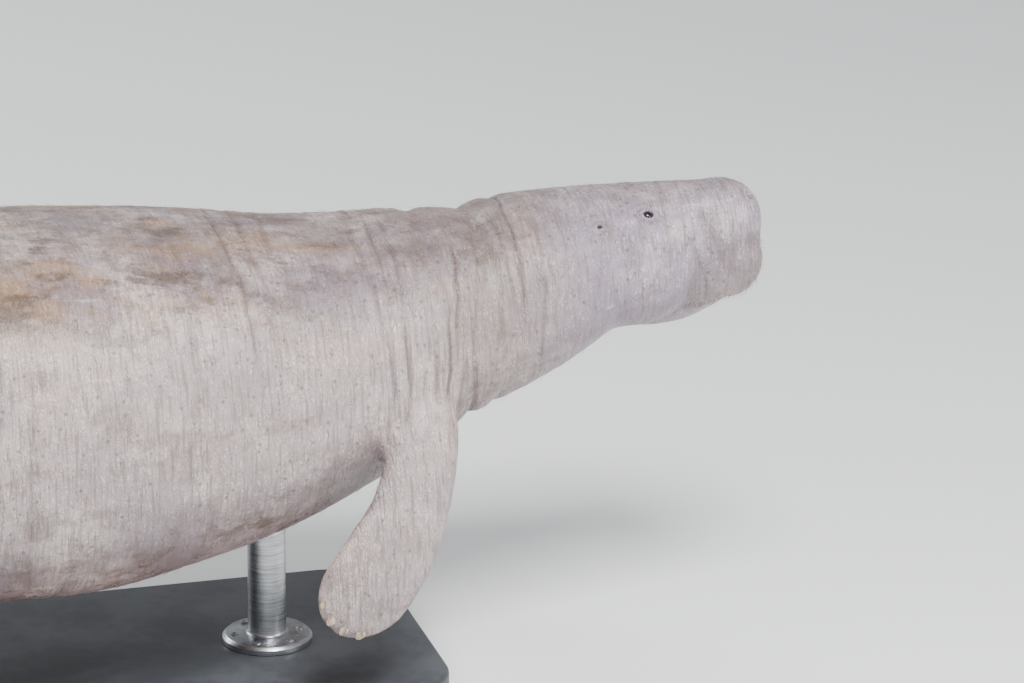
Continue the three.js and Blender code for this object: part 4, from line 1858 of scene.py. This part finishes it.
    def build(self, skin: Piece, finish: Finish) -> Piece:
        """Grow the hairs on the skin.

        Args:
            skin: The finished skin.
            finish: The hairs' material.

        Returns:
            The hairs as one plain mesh object.
        """
        values = {
            "Density": self.density,
            "Spacing": self.spacing,
            "Shortest": self.length[0],
            "Longest": self.length[1],
            "Root Radius": self.radius,
            "Stand": self.stand,
            "Bend": self.bend,
            "Patch": self.patch,
            "Seed": self.seed,
        }
        return grown(self.name, skin.data, self.tree(finish), values, finish)


def geometry_tree(name: str, inputs: dict[str, str]) -> Nodes:
    """Start a geometry node tree with named inputs.

    Args:
        name: Name of the tree.
        inputs: Kind of each input, after the geometry that goes in.

    Returns:
        The tree's nodes.
    """
    tree = bpy.data.node_groups.new(name, "GeometryNodeTree")
    for label, kind in {"Geometry": "Geometry", **inputs}.items():
        tree.interface.new_socket(label, in_out="INPUT", socket_type=f"NodeSocket{kind}")
    tree.interface.new_socket("Geometry", in_out="OUTPUT", socket_type="NodeSocketGeometry")
    return Nodes(tree)


def grown(
    name: str,
    base: Mesh,
    tree: Tree,
    values: dict[str, object],
    finish: Finish,
) -> Piece:
    """Run a geometry node tree on a mesh and keep its result as a plain mesh object.

    Args:
        name: Name of the new object.
        base: Mesh that the tree works on.
        tree: The geometry node tree.
        values: Value of each named input.
        finish: Material of the result.

    Returns:
        The new object.
    """
    carrier = bpy.data.objects.new(f"{name}_carrier", base)
    bpy.context.scene.collection.objects.link(carrier)
    modifier = carrier.modifiers.new(name, "NODES")
    modifier.node_group = tree
    for item in tree.interface.items_tree:
        if item.item_type == "SOCKET" and item.in_out == "INPUT" and item.name in values:
            modifier[item.identifier] = values[item.name]
    graph = bpy.context.evaluated_depsgraph_get()
    mesh = bpy.data.meshes.new_from_object(carrier.evaluated_get(graph))
    carrier.modifiers.clear()
    bpy.data.objects.remove(carrier)
    mesh.name = name
    for extra in ("patch", "unwrap", "lie", "pads", "hollow", "limb", "crease", "upness"):
        if extra in mesh.attributes:
            mesh.attributes.remove(mesh.attributes[extra])
    mesh.materials.clear()
    mesh.materials.append(finish)
    made = bpy.data.objects.new(name, mesh)
    bpy.context.scene.collection.objects.link(made)
    return made


@dataclass
class Stand:
    """The plain display stand: a rounded base plate and two rods with screwed feet."""

    body: BodyForm
    length: float = 1760
    width: float = 620
    thickness: float = 45
    corner: float = 120
    bevel: float = 6
    rod_radius: float = 34
    foot_radius: float = 80
    foot_height: float = 16
    places: tuple[tuple[str, float], ...] = (("front", 900), ("rear", 1830))
    screws: int = 6
    screw_circle: float = 60
    screw_head: tuple[float, float] = (0.0065, 0.0034)
    corner_steps: int = 14
    bevel_steps: int = 6
    around: int = 64
    fillet: float = 7.0
    foot_gap: float = 0.3
    sunk: float = 1.5

    def plate(self) -> Piece:
        """Make the base plate with round corners and softly rounded edges.

        Returns:
            The plate.
        """
        turns = np.linspace(0, math.pi / 2, self.corner_steps)
        outline = []
        for quarter, (sx, sy) in enumerate(((1, 1), (-1, 1), (-1, -1), (1, -1))):
            centre = (sx * (self.length / 2 - self.corner), sy * (self.width / 2 - self.corner))
            for turn in turns + quarter * math.pi / 2:
                outline.append((*centre, math.cos(turn), math.sin(turn)))
        base = np.array(outline)
        levels = []
        for turn in np.linspace(0, math.pi / 2, self.bevel_steps):
            levels.append((self.bevel * (1 - math.sin(turn)), self.bevel * (1 - math.cos(turn))))
        profile = levels + [(inset, self.thickness - z) for inset, z in reversed(levels)]
        rings = []
        for inset, z in profile:
            reach = self.corner - inset
            x, y = base[:, 0] + base[:, 2] * reach, base[:, 1] + base[:, 3] * reach
            rings.append(np.stack([x, y, np.full(len(x), z)], axis=1))
        top = np.array([0.0, 0, self.thickness])
        made = loft_object("stand_plate", np.zeros(3), np.array(rings), top)
        made.data.shade_flat()
        made.data.set_sharp_from_angle(angle=math.radians(35))
        return made

    def belly_height(self, behind: Array, side: Array) -> Array:
        """Give the height of the belly's skin over the floor at some places."""
        sizes = self.body.section(behind)
        share = np.clip(np.abs(side) / sizes.half, 0, 1)
        drop = sizes.down * (1 - share**sizes.squareness) ** (1 / sizes.squareness)
        return self.body.level + sizes.height - drop

    def rod(self, word: str, behind: float) -> Piece:
        """Make one rod with its foot, up to the belly that it carries.

        Args:
            word: Front or rear.
            behind: Place behind the muzzle.

        Returns:
            The rod.
        """
        angles = round_angles(self.around)
        low, foot, radius = self.thickness + self.foot_gap, self.foot_radius, self.rod_radius
        high = self.foot_height
        profile = [(foot - 1.5, low), (foot, low + 1.5), (foot, low + high * 0.6)]
        profile += [(foot - high * 0.25, low + high * 0.88), (foot - high * 0.4, low + high)]
        for turn in np.linspace(0, math.pi / 2, 7):
            out, up = self.fillet * (1 - math.sin(turn)), self.fillet * (1 - math.cos(turn))
            profile.append((radius + out, low + high + up))
        centre = self.body.muzzle_x - behind
        x, y = centre + radius * np.cos(angles), radius * np.sin(angles)
        top = self.belly_height(self.body.muzzle_x - x, y) + self.sunk
        rings = []
        for r, z in profile:
            level = np.full(self.around, z)
            rings.append(np.stack([centre + r * np.cos(angles), r * np.sin(angles), level], axis=1))
        start = rings[-1][:, 2]
        for share in np.linspace(0.1, 1, 10):
            rings.append(np.stack([x, y, start + (top - start) * share], axis=1))
        cap = float(self.belly_height(np.array(behind), np.array(0.0))) + self.sunk
        ends = np.array([centre, 0, low]), np.array([centre, 0.0, cap])
        made = loft_object(f"rod_{word}", ends[0], np.array(rings), ends[1])
        made.data.set_sharp_from_angle(angle=math.radians(40))
        return made

    def screw_tree(self, finish: Finish) -> Tree:
        """Build the node tree that sets a ring of countersunk screws on a foot.

        Args:
            finish: Material of the screws.

        Returns:
            The node tree.
        """
        sizes = dict.fromkeys(("Ring Radius", "Head Radius", "Head Height"), "Float")
        laid = geometry_tree("screw ring", {"Count": "Int", **sizes, "Centre": "Vector"})
        given = laid.add("NodeGroupInput").outputs
        circle = {"Vertices": given["Count"], "Radius": given["Ring Radius"]}
        ring = laid.add("GeometryNodeMeshCircle", circle).outputs[0]
        head = laid.add(
            "GeometryNodeMeshCylinder",
            {
                "Vertices": 20,
                "Side Segments": 1,
                "Radius": given["Head Radius"],
                "Depth": given["Head Height"],
            },
        )
        inner = laid.add(
            "GeometryNodeExtrudeMesh",
            {"Mesh": head.outputs["Mesh"], "Selection": head.outputs["Top"], "Offset Scale": 0.0},
        )
        narrow = laid.add(
            "GeometryNodeScaleElements",
            {"Geometry": inner.outputs["Mesh"], "Selection": inner.outputs["Top"], "Scale": 0.5},
        ).outputs[0]
        deep = laid.add(
            "GeometryNodeExtrudeMesh",
            {"Mesh": narrow, "Selection": inner.outputs["Top"], "Offset Scale": -0.0022},
        ).outputs["Mesh"]
        set_on = laid.add("GeometryNodeInstanceOnPoints", {"Points": ring, "Instance": deep}).outputs[0]
        place = {"Geometry": set_on, "Translation": given["Centre"]}
        moved = laid.add("GeometryNodeTransform", place).outputs[0]
        real = laid.add("GeometryNodeRealizeInstances", {"Geometry": moved}).outputs[0]
        finished = laid.add("GeometryNodeSetMaterial", {"Geometry": real, "Material": finish}).outputs[0]
        laid.add("NodeGroupOutput", {"Geometry": finished})
        return laid.tree

    def build(self, paint: Finish, steel: Finish) -> list[Piece]:
        """Build the stand's pieces.

        Args:
            paint: Finish of the base.
            steel: Finish of rods and screws.

        Returns:
            The pieces.
        """
        plate = self.plate()
        plate.data.materials.append(paint)
        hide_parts("stand_base")
        made = [plate]
        tree = self.screw_tree(steel)
        for word, behind in self.places:
            rod = self.rod(word, behind)
            rod.data.materials.append(steel)
            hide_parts(f"stand_rod_{word}")
            centre = ((self.body.muzzle_x - behind) * MM, 0.0, (self.thickness + self.foot_height + 0.9) * MM)
            values = {
                "Count": self.screws,
                "Ring Radius": self.screw_circle * MM,
                "Head Radius": self.screw_head[0],
                "Head Height": self.screw_head[1],
                "Centre": centre,
            }
            screws = grown(f"screws_{word}", rod.data, tree, values, steel)
            made += [rod, screws]
        return made


@dataclass(frozen=True)
class Studio:
    """The pale floor, the soft lights and the camera at the photograph's angle.

    The camera looks from the animal's right side, a little from behind and from above, and the tip of the
    muzzle falls on the photograph's own pixel.
    """

    azimuth: float = -15.0
    elevation: float = 20.0
    frame: tuple[int, int] = (1024, 683)
    tip_pixel: tuple[float, float] = (758, 205)
    tip: Triple = (1.5, 0.0, 0.78)
    scale: float = 565.0
    lens: float = 300.0
    sensor: float = 36.0
    middle: Triple = (0.3, 0.0, 0.6)
    lights: tuple[tuple[str, Triple, float, float], ...] = (
        ("overhead", (1.0, -3.2, 5.0), 2.0, 640),
        ("window", (4.6, -3.4, 2.2), 2.4, 130),
        ("far_side", (-2.5, 4.5, 3.6), 2.4, 210),
    )
    sky: Colour = (0.92, 0.95, 1.0, 1)
    sky_strength: float = 0.46

    def camera(self) -> Piece:
        """Set up the camera.

        Returns:
            The camera.
        """
        data = bpy.data.cameras.new("photo_camera")
        data.lens, data.sensor_width = self.lens, self.sensor
        data.clip_end = 200
        made = bpy.data.objects.new("photo_camera", data)
        bpy.context.scene.collection.objects.link(made)
        turn, rise = math.radians(-self.azimuth), math.radians(self.elevation)
        ahead = Vector((math.sin(turn) * math.cos(rise), math.cos(turn) * math.cos(rise), -math.sin(rise)))
        right = Vector((math.cos(turn), -math.sin(turn), 0))
        above = right.cross(ahead)
        across = (self.tip_pixel[0] - self.frame[0] / 2) / self.scale
        upward = (self.frame[1] / 2 - self.tip_pixel[1]) / self.scale
        distance = self.lens / self.sensor * self.frame[0] / self.scale
        place = Vector(self.tip) - right * across - above * upward - ahead * distance
        made.matrix_world = Matrix.Translation(place) @ Matrix((right, above, -ahead)).transposed().to_4x4()
        bpy.context.scene.camera = made
        return made

    def floor(self) -> Piece:
        """Lay the pale floor.

        Returns:
            The floor.
        """
        size = 60_000.0
        corners = np.array([[-1, -1, 0], [1, -1, 0], [1, 1, 0], [-1, 1, 0]], float) * size / 2
        floor = make_object("floor", corners, [(0, 1, 2, 3)])
        material, laid, shader = new_material("pale_floor")
        where = laid.add("ShaderNodeTexCoord").outputs["Object"]
        tone = laid.mix(laid.noise(where, 0.8, 3), srgb(226, 228, 228), srgb(232, 233, 232))
        laid.feed(shader, {"Base Color": tone, "Roughness": 0.75})
        floor.data.materials.append(material)
        return floor

    def light(self, name: str, place: Triple, target: Triple, size: float, power: float) -> None:
        """Hang one soft square light.

        Args:
            name: Name of the light.
            place: Where it hangs.
            target: What it points at.
            size: Length of its side.
            power: Its power in watts.
        """
        data = bpy.data.lights.new(name, "AREA")
        data.shape, data.size, data.energy = "SQUARE", size, power
        made = bpy.data.objects.new(name, data)
        made.location = place
        made.rotation_euler = (Vector(target) - Vector(place)).to_track_quat("-Z", "Y").to_euler()
        bpy.context.scene.collection.objects.link(made)

    def build(self) -> None:
        """Set up floor, lights, sky and camera."""
        self.camera()
        self.floor()
        for name, place, size, power in self.lights:
            self.light(name, place, self.middle, size, power)
        world = bpy.data.worlds.new("soft_sky")
        world.use_nodes = True
        background = world.node_tree.nodes["Background"]
        Nodes(world.node_tree).feed(background, {0: self.sky, 1: self.sky_strength})
        bpy.context.scene.world = world


def report(made: Piece) -> None:
    """Log the name and the faces of a piece."""
    LOG.info("%s: %d faces", made.name, len(made.data.polygons))


def main() -> None:
    """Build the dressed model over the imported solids."""
    logging.basicConfig(level=logging.INFO, format="%(name)s: %(message)s")
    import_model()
    body = BodyForm()
    senses = HeadSense()
    relief = Relief(body, senses)
    flippers = (FlipperForm(Side.RIGHT, 4, 0), FlipperForm(Side.LEFT, -8, 5))
    Studio().build()
    skin = Skin(body, relief, flippers).build(SkinFinish().build())
    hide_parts(*BODY_NODES, "flipper_right", "flipper_left")
    pieces = [skin]
    pieces += Eyes(relief).build(EyeFinish().build())
    pieces += Nails(body, flippers).build(HornFinish().build())
    hair = HairFinish("body_hair", srgb(120, 104, 92), srgb(176, 162, 146)).build()
    bristle = HairFinish("lip_bristle", srgb(150, 132, 112), srgb(206, 192, 168)).build()
    sparse = Coat("body_hairs", False, 900, 0.019, (0.016, 0.028), 0.00028, 0.42, 0.006, 5)
    dense = Coat("lip_bristles", True, 26000, 0.0052, (0.006, 0.013), 0.00045, 1.6, 0.002, 9)
    for coat, finish in ((sparse, hair), (dense, bristle)):
        grown_coat = coat.build(skin, finish)
        pieces.append(grown_coat)
    pieces += Stand(body).build(PaintFinish().build(), SteelFinish().build())
    for made in pieces:
        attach(made, "root")
        report(made)


if __name__ == "__main__":
    main()
